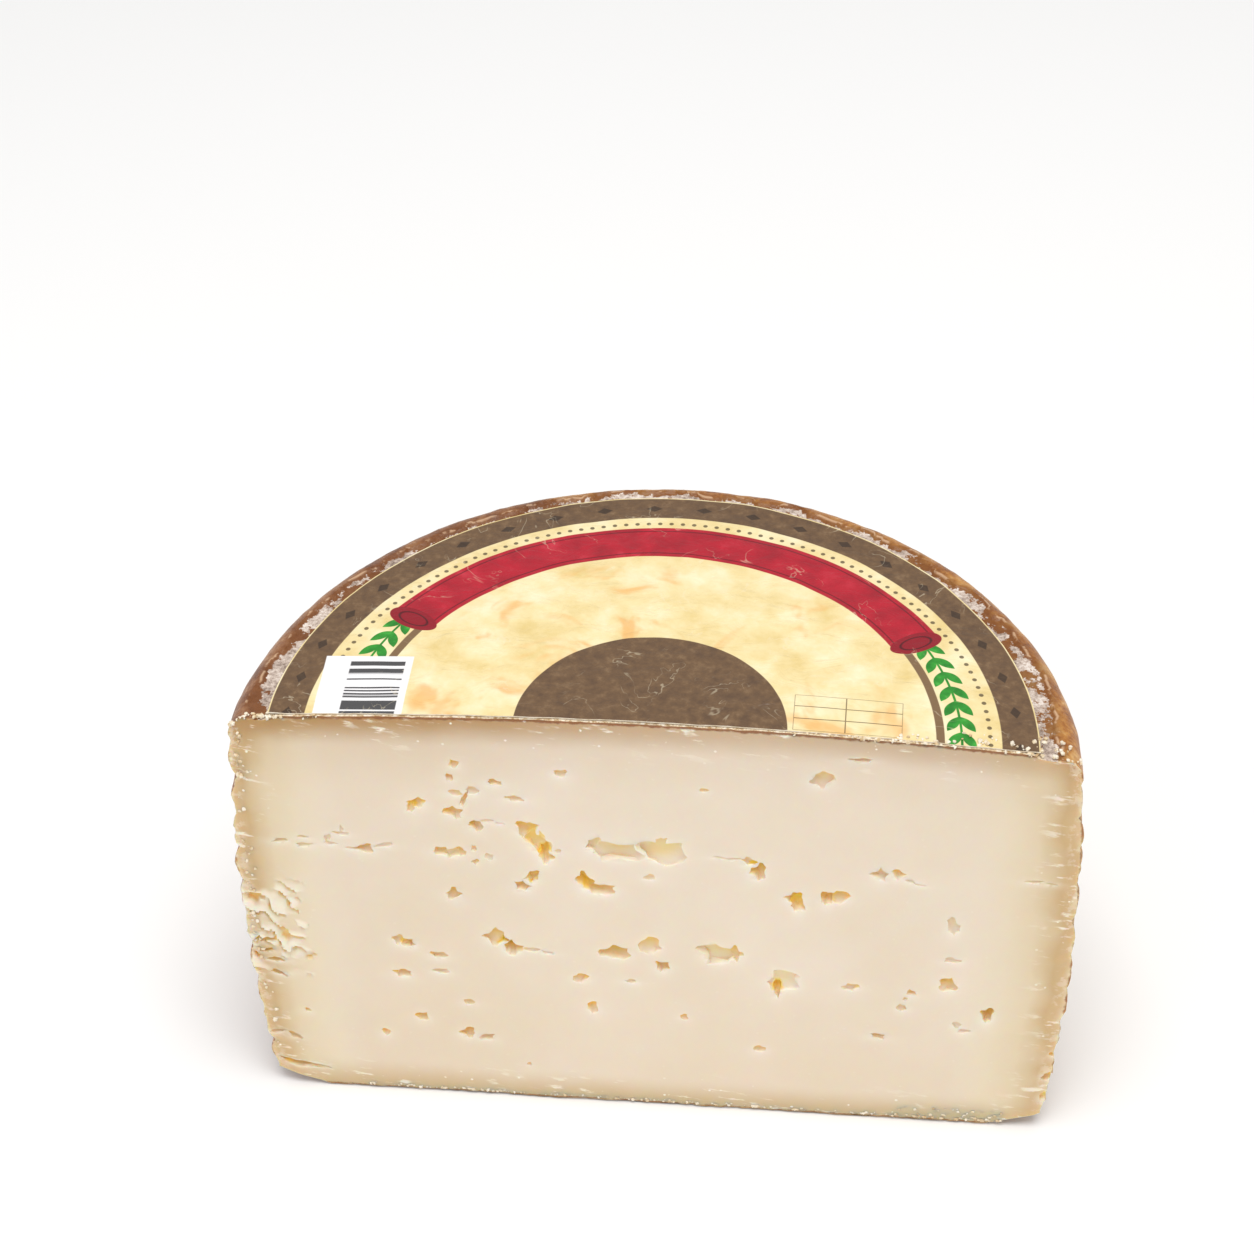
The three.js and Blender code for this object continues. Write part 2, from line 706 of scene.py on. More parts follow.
@dataclass(frozen=True)
class PasteFinish:
    """The cut paste: ivory in the middle, dried and darker towards the rind, with painted golden glow and shade
    in the openings.
    """

    name: str = "paste"
    roughness: float = 0.52
    glow: float = 0.66
    glow_reach: float = 4.6
    band_reach: float = 26.0

    def build(self) -> bpy.types.Material:
        """Make the material.

        Returns:
            The material.
        """
        g = NodeGraph(self.name)
        to_side, to_top = self._distances(g)
        cloud = g.noise(g.place, 30.0, 3.0, 0.55)
        colour = g.ramp(cloud, (0.35, Shade.CORE.value), (0.65, Shade.CORE_WARM.value))
        # Darker towards the left and towards the bottom of the cut face.
        darker_left_and_low = g.total(g.product(g.rise(g.x, -10.0, -80.0), 0.11), g.product(g.rise(g.z, 50.0, 8.0), 0.12))
        colour = g.mix(darker_left_and_low, colour, "cdb285")
        colour = self._band(g, colour, to_side, to_top)
        colour = self._pale_marks(g, colour, to_side, to_top)
        nearest = g.math("MINIMUM", g.math("MINIMUM", to_side, to_top), g.z)
        ragged = g.product(g.math("SUBTRACT", g.noise(g.place, 1.6, 3.0), 0.5), 1.2)
        skin = g.rise(g.total(nearest, ragged), 1.0, 0.45)
        colour = g.mix(g.product(skin, 0.9), colour, Shade.SKIN.value)
        colour = self._wells(g, colour)
        g.set(g.shader.inputs["Base Color"], colour)
        streak_place = g.vector(g.product(g.x, 0.06), g.depth, g.total(g.z, g.product(g.x, 0.04)))
        streaks = g.noise(streak_place, 1.3, 3.0, 0.6)
        grain = g.noise(g.place, 0.7, 2.0)
        smooth_face = g.bump(streaks, 0.10, 0.5)
        g.set(g.shader.inputs["Normal"], g.bump(grain, 0.05, 0.5, smooth_face))
        g.shader.inputs["Roughness"].default_value = self.roughness
        g.shader.inputs["Specular IOR Level"].default_value = 0.35
        g.shader.inputs["Subsurface Weight"].default_value = self.glow
        g.shader.inputs["Subsurface Radius"].default_value = (1.0, 0.5, 0.2)
        g.shader.inputs["Subsurface Scale"].default_value = self.glow_reach * MM
        return g.material

    def _distances(self, g: NodeGraph) -> tuple[Socket, Socket]:
        """Measure how far a point of the paste lies under the rind.

        Args:
            g: The material's node tree.

        Returns:
            Distance to the side and distance to the top.
        """
        radius, _ = g.polar()
        off_belly = g.product(g.math("SUBTRACT", g.z, FORM.belly), 1 / FORM.barrel_reach)
        drop = g.product(off_belly, off_belly, FORM.barrel_drop)
        to_side = g.math("SUBTRACT", g.math("SUBTRACT", WHEEL_RADIUS - FORM.skin, drop), radius)
        doming = g.product(g.product(radius, radius), FORM.doming / LABEL_RADIUS**2)
        to_top = g.math("SUBTRACT", g.math("SUBTRACT", WHEEL_HEIGHT, doming), g.z)
        return to_side, to_top

    def _band(self, g: NodeGraph, colour: Socket, to_side: Socket, to_top: Socket) -> Socket:
        """Darken the dried paste under the rind: pale crumb, then a tan band that fades inwards.

        Args:
            g: The material's node tree.
            colour: The colour below.
            to_side: Distance to the rind at the side.
            to_top: Distance to the rind on the top.

        Returns:
            The colour.
        """
        wander = g.math("SUBTRACT", g.noise(g.place, 15.0, 3.0, 0.55), 0.5)
        side = g.product(g.total(to_side, g.product(wander, 7.0)), 1 / self.band_reach)
        tan = g.ramp(side, (0.0, "dcc9a8"), (0.07, "d2b688"), (0.15, "cfb184"), (0.24, "d9c29c"),
                     (0.36, "e3d1b2"), (0.60, "e8d9bf"), (0.95, "ebddc8"))
        colour = g.mix(g.rise(side, 1.0, 0.55), colour, tan)
        top = g.total(to_top, g.product(wander, 3.5))
        to_left = g.rise(g.x, 30.0, -60.0)
        reach = g.total(0.6, g.product(to_left, 0.4))
        browned = g.total(g.product(g.rise(top, 9.0, 0.4), 0.78), g.product(g.rise(top, 24.0, 3.0), 0.2))
        colour = g.mix(g.product(browned, reach), colour, "b68f5c")
        foot = g.total(g.z, g.product(wander, 4.0))
        return g.mix(g.product(g.rise(foot, 10.0, 0.8), 0.85), colour, "ccb083")

    def _pale_marks(self, g: NodeGraph, colour: Socket, to_side: Socket, to_top: Socket) -> Socket:
        """Whitish crumb, smears, specks and flakes, most of them close to the rind; the halos under openings
        and the pale fronts of the flakes are partly painted light.

        Args:
            g: The material's node tree.
            colour: The colour below.
            to_side: Distance to the rind at the side.
            to_top: Distance to the rind on the top.

        Returns:
            The colour.
        """
        crumbs = g.rise(g.noise(g.place, 3.2, 4.0, 0.65), 0.50, 0.60)
        colour = g.mix(g.product(g.rise(to_side, 4.4, 2.0), crumbs, 0.65), colour, "e4d3b9")
        near = g.rise(g.math("MINIMUM", g.math("MINIMUM", to_side, to_top), g.z), 13.0, 3.0)
        drawn = g.vector(g.product(g.x, 0.24), g.depth, g.total(g.z, g.product(g.x, 0.12)))
        patches = g.rise(g.noise(g.place, 8.0), 0.46, 0.58)
        smears = g.product(g.rise(g.noise(drawn, 1.5, 4.0, 0.6), 0.55, 0.66), patches)
        colour = g.mix(g.product(smears, near, 0.85), colour, "f6eede")
        few = g.rise(g.noise(g.place, 4.0, 1.0), 0.50, 0.56)
        more = g.total(0.08, g.product(near, 0.8))
        specks = g.product(g.rise(g.cells(g.place, 2.9), 0.15, 0.09), few, more)
        colour = g.mix(specks, colour, "fdf8ee")
        # Painted light: a pale halo on the lower rims of the openings, where the paste is also smeared.
        colour = g.mix(g.product(g.mark("lit_smeared_rim"), 0.95), colour, "f9f2e6")
        # Painted light on the lit fronts of the torn flakes, which are partly pale dry paste as well.
        return g.mix(g.product(g.mark("lit_flake_front"), 0.85), colour, "f3e9d8")

    def _wells(self, g: NodeGraph, colour: Socket) -> Socket:
        """Painted glow and shade inside the openings: straw deeper in, golden under their upper edges and at
        the bottom of the deep ones.

        Args:
            g: The material's node tree.
            colour: The colour below.

        Returns:
            The colour.
        """
        sunk = g.mark("sunk")
        # Painted glow and shade: straw and gold grow with the opening's depth, and the gold mark adds painted
        # shade under the upper edges and in crevices.
        colour = g.mix(g.product(g.rise(sunk, 0.6, 2.2), 0.8), colour, Shade.STRAW.value)
        deep_well_glow = g.product(g.rise(sunk, 1.3, 2.8), 0.8)
        return g.mix(g.largest(g.mark("gold"), deep_well_glow), colour, Shade.GOLD.value)


@dataclass(frozen=True)
class CrumbFinish:
    """Crumbs along the cut's edges: dry, dull and pale."""

    name: str = "crumbs"

    def build(self) -> bpy.types.Material:
        """Make the material.

        Returns:
            The material.
        """
        g = NodeGraph(self.name)
        tone = g.noise(g.place, 2.5, 3.0, 0.6)
        colour = g.ramp(tone, (0.36, "cfb184"), (0.48, "e6d5b6"), (0.6, "f3ead9"))
        g.set(g.shader.inputs["Base Color"], colour)
        g.set(g.shader.inputs["Normal"], g.bump(g.noise(g.place, 0.4, 2.0), 0.05, 0.6))
        g.shader.inputs["Roughness"].default_value = 0.75
        g.shader.inputs["Specular IOR Level"].default_value = 0.3
        return g.material


@dataclass(frozen=True)
class RindFinish:
    """The rind: grained brown side, smooth amber shoulder, and grey-white mould round the label."""

    name: str = "rind"

    def build(self) -> bpy.types.Material:
        """Make the material.

        Returns:
            The material.
        """
        g = NodeGraph(self.name)
        radius, angle = g.polar()
        along = g.product(angle, WHEEL_RADIUS)
        wave = g.product(g.math("SUBTRACT", g.noise(g.vector(along, g.z, 0.0), 12.0, 3.0), 0.5), 7.0)
        up = g.total(g.z, wave, g.product(radius, 0.9))
        patch = g.noise(g.place, 26.0, 3.0, 0.55)
        # Towards the left the rind is redder, and it is also painted darker as shade on the side that gets less
        # light.
        left_red_and_shade = g.rise(g.total(g.x, g.product(g.math("SUBTRACT", patch, 0.5), 120.0)), 25.0, -70.0)
        tone, side = self._side(g, along, up, patch, left_red_and_shade)
        waxy, amber = self._shoulder(g, along, left_red_and_shade)
        colour = g.mix(waxy, side, amber)
        within = g.mark("ring")
        mould, dust = self._mould(g, within)
        colour = g.mix(g.product(g.rise(within, -2.5, 0.5), 0.75), colour, "74431a")
        broken = g.rise(g.noise(g.place, 5.0, 3.0, 0.65), 0.48, 0.56)
        shore = g.product(g.band(within, -0.6, -0.05, 0.25), broken)
        colour = g.mix(g.product(shore, 0.7), colour, "d9b592")
        colour = g.mix(mould, colour, dust)
        on_top = g.rise(g.z, WHEEL_HEIGHT - 7.0, WHEEL_HEIGHT - 6.0)
        lip = g.product(g.rise(g.depth, 3.2, 1.2), g.rise(radius, 83.5, 82.0), on_top)
        crumb = g.ramp(g.noise(g.place, 1.1, 3.0, 0.65), (0.38, "b08c5c"), (0.52, "e2cfae"), (0.62, "f3e9d8"))
        colour = g.mix(g.product(lip, 0.9), colour, crumb)
        base = g.product(g.rise(g.z, 3.5, 0.5), g.rise(g.noise(g.place, 7.0, 4.0, 0.6), 0.35, 0.6))
        colour = g.mix(g.product(base, 0.5), colour, "b99b68")
        g.set(g.shader.inputs["Base Color"], colour)
        dull = g.total(0.60, g.product(waxy, -0.20), g.product(mould, 0.35))
        g.set(g.shader.inputs["Roughness"], dull)
        g.shader.inputs["Specular IOR Level"].default_value = 0.4
        calm = g.math("SUBTRACT", 1.0, g.product(g.largest(waxy, mould), 0.85))
        normal = g.bump(g.product(tone, calm), 1.3, 1.0)
        fine = g.noise(g.place, 1.2, 4.0, 0.65)
        g.set(g.shader.inputs["Normal"], g.bump(fine, 0.22, 0.8, normal))
        return g.material

    def _side(self, g: NodeGraph, along: Socket, up: Socket, patch: Socket,
              left_red_and_shade: Socket) -> tuple[Socket, Socket]:
        """Short straw-coloured grains that run round the side, with painted shade in the gaps between them and
        painted highlights on their tops.

        Args:
            g: The material's node tree.
            along: Distance round the wheel.
            up: Height along the waving grain.
            patch: Slow unevenness.
            left_red_and_shade: Where the rind is redder, and slightly darker as painted shade, on the left.

        Returns:
            Height of the grain, and the colour.
        """
        grain_place = g.vector(g.product(along, 0.36), up, 0.0)
        fine = g.noise(grain_place, 0.62, 2.0, 0.55, 0.12)
        coarse = g.noise(g.vector(g.product(along, 0.4), up, 7.0), 2.6, 3.0, 0.6, 0.2)
        tone = g.total(g.product(fine, 0.72), g.product(coarse, 0.28))
        # The colour follows the bump height: the grain's own straw and russet, with painted shade at the low
        # end and painted highlight at the high end.
        gold = g.ramp(tone, (0.36, "68472a"), (0.44, "a97c49"), (0.51, "d6a469"), (0.57, "edc48a"),
                      (0.64, "fbe5bb"))
        russet = g.ramp(tone, (0.36, "5f3828"), (0.44, "9b664b"), (0.51, "c78f70"), (0.58, "e6b898"),
                        (0.66, "f8e0cc"))
        side = g.mix(g.product(left_red_and_shade, 0.8), gold, russet)
        cloud = g.noise(g.vector(g.product(along, 0.6), up, 3.0), 11.0, 3.0, 0.6)
        shade = g.ramp(cloud, (0.35, "8f7a5e"), (0.6, "ffffff"))
        side = g.mix(0.6, side, shade, "MULTIPLY")
        worn = g.product(g.rise(g.noise(grain_place, 1.5, 4.0, 0.7), 0.62, 0.70), g.rise(patch, 0.42, 0.6))
        side = g.mix(g.product(worn, 0.85), side, "ecdcc0")
        # Painted shade: dark spots that stand for the shade inside small pitting of the rind.
        painted_pit_shade = g.rise(g.noise(g.vector(g.product(along, 0.8), up, 21.0), 2.2, 2.0, 0.5), 0.33, 0.27)
        return tone, g.mix(g.product(painted_pit_shade, 0.85), side, "2f2014")

    def _shoulder(self, g: NodeGraph, along: Socket, left_red_and_shade: Socket) -> tuple[Socket, Socket]:
        """The smooth amber band that the mould's lid has left.

        Args:
            g: The material's node tree.
            along: Distance round the wheel.
            left_red_and_shade: Where the rind is redder, and darker as painted shade, on the left.

        Returns:
            Where the band is, and its colour.
        """
        fine = g.noise(g.place, 1.0, 3.0)
        tone = g.total(g.product(g.noise(g.place, 8.0, 3.0, 0.6, 0.5), 0.7), g.product(fine, 0.3))
        amber = g.ramp(tone, (0.34, "7d4718"), (0.46, "a76a2c"), (0.56, "c38a45"), (0.66, "d6aa6c"))
        # The darker ramp is painted shade on the left, laid over the redder tone there.
        dark = g.ramp(tone, (0.34, "4a2a1e"), (0.50, "80523a"), (0.66, "ac8064"))
        amber = g.mix(g.product(left_red_and_shade, 0.75), amber, dark)
        ragged = g.product(g.math("SUBTRACT", g.noise(g.vector(along, g.z, 4.0), 7.0, 4.0, 0.7), 0.5), 16.0)
        return g.rise(g.total(g.z, ragged), WHEEL_HEIGHT - 15.0, WHEEL_HEIGHT - 9.0), amber

    def _mould(self, g: NodeGraph, within: Socket) -> tuple[Socket, Socket]:
        """Grey-white granular mould in patches of the ring beside the label.

        Args:
            g: The material's node tree.
            within: Distance inside the ring's ragged edge.

        Returns:
            Where the mould is, and its colour.
        """
        frayed = g.product(g.math("SUBTRACT", g.noise(g.place, 1.6, 4.0, 0.7), 0.5), 3.4)
        patches = g.rise(g.noise(g.place, 10.0, 5.0, 0.72), 0.45, 0.475)
        mould = g.product(g.rise(g.total(within, frayed), 0.6, 0.95), patches)
        lumps = g.noise(g.place, 4.5, 3.0)
        grains = g.total(g.product(g.noise(g.place, 0.8, 3.0, 0.7), 0.6), g.product(lumps, 0.4))
        dust = g.ramp(grains, (0.37, "7f6d61"), (0.46, "b2a094"), (0.54, "cebdb0"), (0.63, "e9ded5"))
        return mould, dust


@dataclass(frozen=True)
class LabelPrint:
    """The label's paper and its bare, generic print."""

    name: str = "label_print"
    brown: str = "6d5339"
    cream: str = "ecd9a4"
    leaf: str = "2f962e"
    red: str = "b4142b"
    ring_outer: tuple[float, float] = (74.0, 81.7)
    ring_inner: tuple[float, float] = (60.2, 62.0)
    garland_radius: float = 65.6
    leaf_pitch: float = 4.9
    leaf_length: float = 5.6
    leaf_width: float = 1.15
    leaf_tilt: float = math.radians(33)
    ribbon: tuple[float, float] = (58.8, 70.0)
    ribbon_half_angle: float = math.radians(59)
    disc_radius: float = 29.0

    def build(self) -> bpy.types.Material:
        """Make the material.

        Returns:
            The material.
        """
        g = NodeGraph(self.name)
        radius, angle = g.polar()
        colour = self._paper(g, radius)
        colour = g.mix(g.band(radius, *self.ring_inner), colour, "7d6244")
        colour = self._dots(g, colour, radius, angle)
        colour = g.mix(self._garland(g, radius, angle), colour, self._leaf_green(g))
        colour = self._ribbon(g, colour, radius, angle)
        outer = g.band(radius, *self.ring_outer)
        ink = g.noise(g.place, 2.2, 4.0, 0.6)
        mottle = g.ramp(ink, (0.3, "5c4531"), (0.55, self.brown), (0.75, "83684b"))
        colour = g.mix(outer, colour, mottle)
        colour = self._ring_marks(g, colour, radius, angle)
        disc = g.rise(radius, self.disc_radius + 0.1, self.disc_radius - 0.1)
        colour = g.mix(disc, colour, mottle)
        colour = self._bar_box(g, colour)
        colour = self._table(g, colour)
        lines = g.math("ABSOLUTE", g.math("SUBTRACT", g.noise(g.place, 13.0, 3.0, 0.55, 1.5), 0.5))
        creased = g.product(g.rise(lines, 0.012, 0.0), g.rise(g.noise(g.place, 10.0, 2.0), 0.50, 0.62))
        colour = g.mix(g.product(creased, 0.3), colour, "efe2c4")
        g.set(g.shader.inputs["Base Color"], colour)
        creases = g.noise(g.vector(g.x, g.product(g.y, 1.6), 0.0), 9.0, 3.0, 0.6, 1.2)
        weave = g.noise(g.place, 0.6, 2.0)
        soft = g.bump(creases, 0.9, 0.6)
        g.set(g.shader.inputs["Normal"], g.bump(weave, 0.03, 0.6, soft))
        g.shader.inputs["Roughness"].default_value = 0.42
        g.shader.inputs["Specular IOR Level"].default_value = 0.45
        return g.material

    def _paper(self, g: NodeGraph, radius: Socket) -> Socket:
        """Cream paper with faint clouds and orange stains where oil has soaked in.

        Args:
            g: The material's node tree.
            radius: Distance from the wheel's axis.

        Returns:
            The colour.
        """
        cloud = g.noise(g.place, 11.0, 4.0, 0.6)
        paper = g.ramp(cloud, (0.3, "dfc684"), (0.5, self.cream), (0.7, "f4e8c2"))
        blots = g.noise(g.place, 17.0, 3.0, 0.6, 0.7)
        stain = g.product(g.rise(blots, 0.53, 0.66), g.rise(radius, 59.0, 52.0))
        return g.mix(g.product(stain, 0.6), paper, "e8a552")

    def _leaf_green(self, g: NodeGraph) -> Socket:
        """Green with a little unevenness."""
        return g.ramp(g.noise(g.place, 2.4, 3.0), (0.35, "1f7a22"), (0.6, self.leaf), (0.75, "48ad42"))

    def _garland(self, g: NodeGraph, radius: Socket, angle: Socket) -> Socket:
        """Pairs of pointed leaves along a stem that follows the label's edge.

        Args:
            g: The material's node tree.
            radius: Distance from the wheel's axis.
            angle: Angle round the axis from straight back.

        Returns:
            Where the garland is.
        """
        along = g.product(g.math("ABSOLUTE", angle), self.garland_radius)
        across = g.math("SUBTRACT", radius, self.garland_radius)
        off = g.math("ABSOLUTE", across)
        phase = g.product(g.math("FRACT", g.product(along, 1 / self.leaf_pitch)), self.leaf_pitch)
        leaves = []
        for shift in (0.0, self.leaf_pitch):
            run = g.total(phase, shift)
            cos, sin = math.cos(self.leaf_tilt), math.sin(self.leaf_tilt)
            length = g.total(g.product(run, cos), g.product(off, sin))
            width = g.math("ABSOLUTE", g.total(g.product(run, -sin), g.product(off, cos)))
            part = g.product(length, 1 / self.leaf_length)
            bulge = g.product(part, g.math("SUBTRACT", 1.0, part), 4 * self.leaf_width)
            leaves.append(g.rise(g.math("SUBTRACT", bulge, width), -0.06, 0.12))
        stem = g.rise(off, 0.34, 0.22)
        kept = g.rise(g.math("ABSOLUTE", angle), self.ribbon_half_angle - 0.01, self.ribbon_half_angle)
        return g.product(g.largest(stem, *leaves), kept)

    def _ribbon(self, g: NodeGraph, colour: Socket, radius: Socket, angle: Socket) -> Socket:
        """A bare red ribbon with a dark outline and rolled ends, over the back of the garland.

        Args:
            g: The material's node tree.
            colour: The colour below.
            radius: Distance from the wheel's axis.
            angle: Angle round the axis from straight back.

        Returns:
            The colour.
        """
        half = g.math("ABSOLUTE", angle)
        low, high = self.ribbon
        short = g.rise(half, self.ribbon_half_angle, self.ribbon_half_angle - 0.004)
        body = g.product(g.band(radius, low, high), short)
        middle = (low + high) / 2
        red = g.ramp(g.noise(g.place, 5.0, 3.0), (0.3, "9c0f24"), (0.6, self.red), (0.8, "c83244"))
        colour = g.mix(body, colour, red)
        line = g.largest(g.band(radius, low + 1.1, low + 1.45, 0.08),
                         g.band(radius, high - 1.45, high - 1.1, 0.08))
        colour = g.mix(g.product(line, body, 0.8), colour, "5e0714")
        end = g.product(g.math("SUBTRACT", half, self.ribbon_half_angle), middle)
        off = g.math("SUBTRACT", radius, middle)
        roll = g.total(g.product(end, end, 1 / 9.0), g.product(off, off, 1 / 38.0))
        colour = g.mix(g.rise(roll, 1.06, 0.98), colour, "8d0d20")
        return g.mix(g.band(roll, 0.30, 0.42, 0.05), colour, "4f0510")

    def _dots(self, g: NodeGraph, colour: Socket, radius: Socket, angle: Socket) -> Socket:
        """A row of small dots in the pale ring.

        Args:
            g: The material's node tree.
            colour: The colour below.
            radius: Distance from the wheel's axis.
            angle: Angle round the axis from straight back.

        Returns:
            The colour.
        """
        pitch, middle = 2.6, 71.6
        along = g.product(g.math("SUBTRACT", g.math("FRACT", g.product(angle, middle / pitch)), 0.5), pitch)
        off = g.math("SUBTRACT", radius, middle)
        away = g.math("SQRT", g.total(g.product(along, along), g.product(off, off)))
        return g.mix(g.product(g.rise(away, 0.62, 0.42), 0.85), colour, "4a3a22")

    def _ring_marks(self, g: NodeGraph, colour: Socket, radius: Socket, angle: Socket) -> Socket:
        """Dark lozenges, evenly spaced round the brown ring.

        Args:
            g: The material's node tree.
            colour: The colour below.
            radius: Distance from the wheel's axis.
            angle: Angle round the axis from straight back.

        Returns:
            The colour.
        """
        pitch, middle = 11.5, 77.8
        along = g.product(g.math("SUBTRACT", g.math("FRACT", g.product(angle, middle / pitch)), 0.5), pitch)
        off = g.math("SUBTRACT", radius, middle)
        away = g.total(g.product(g.math("ABSOLUTE", along), 0.62), g.math("ABSOLUTE", off))
        return g.mix(g.product(g.rise(away, 1.25, 1.05), 0.75), colour, "2e2118")

    def _bar_box(self, g: NodeGraph, colour: Socket) -> Socket:
        """A white box with plain bars by the cut, on the left.

        Args:
            g: The material's node tree.
            colour: The colour below.

        Returns:
            The colour.
        """
        bar_pitch = 0.48
        box = g.product(g.band(g.x, -72.3, -53.0), g.band(g.depth, -1.0, 20.0))
        colour = g.mix(box, colour, "efeef0")
        draw = g.nodes.new("ShaderNodeTexWhiteNoise")
        draw.noise_dimensions = "1D"
        g.set(draw.inputs["W"], g.math("FLOOR", g.product(g.depth, 1 / bar_pitch)))
        drawn = g.rise(draw.outputs["Value"], 0.46, 0.5)
        bars = g.product(g.band(g.x, -66.6, -54.6), g.band(g.depth, 0.4, 18.6), drawn)
        return g.mix(g.product(bars, 0.93), colour, "1c1a1e")

    def _table(self, g: NodeGraph, colour: Socket) -> Socket:
        """A small blank ruled table by the cut, on the right.

        Args:
            g: The material's node tree.
            colour: The colour below.

        Returns:
            The colour.
        """
        left, right, near, far = 30.0, 53.0, 1.5, 12.5
        half_line = 0.13
        inside = g.product(g.band(g.x, left, right), g.band(g.depth, near, far))
        uprights = [g.band(g.x, x - half_line, x + half_line, 0.06) for x in (left, 41.0, right)]
        rules = [g.band(g.depth, y - half_line, y + half_line, 0.06) for y in (near, 5.2, 8.9, far)]
        return g.mix(g.product(inside, g.largest(*uprights, *rules), 0.8), colour, "5a4326")


@dataclass(frozen=True)
class Eye:
    """One lobe of an opening between curd grains, on the cut face, in millimetres.

    The depth is a share of the mean size, and the tilt is in degrees, anticlockwise.
    """

    across: float
    height: float
    width: float
    tall: float
    depth: float = 0.8
    tilt: float = 0.0

    def clear_of(self, other: "Eye") -> bool:
        """Tell whether two lobes are so far apart that their gaps can't touch."""
        reach = max(self.width, self.tall) + max(other.width, other.tall)
        return math.hypot(self.across - other.across, self.height - other.height) > 0.8 * reach


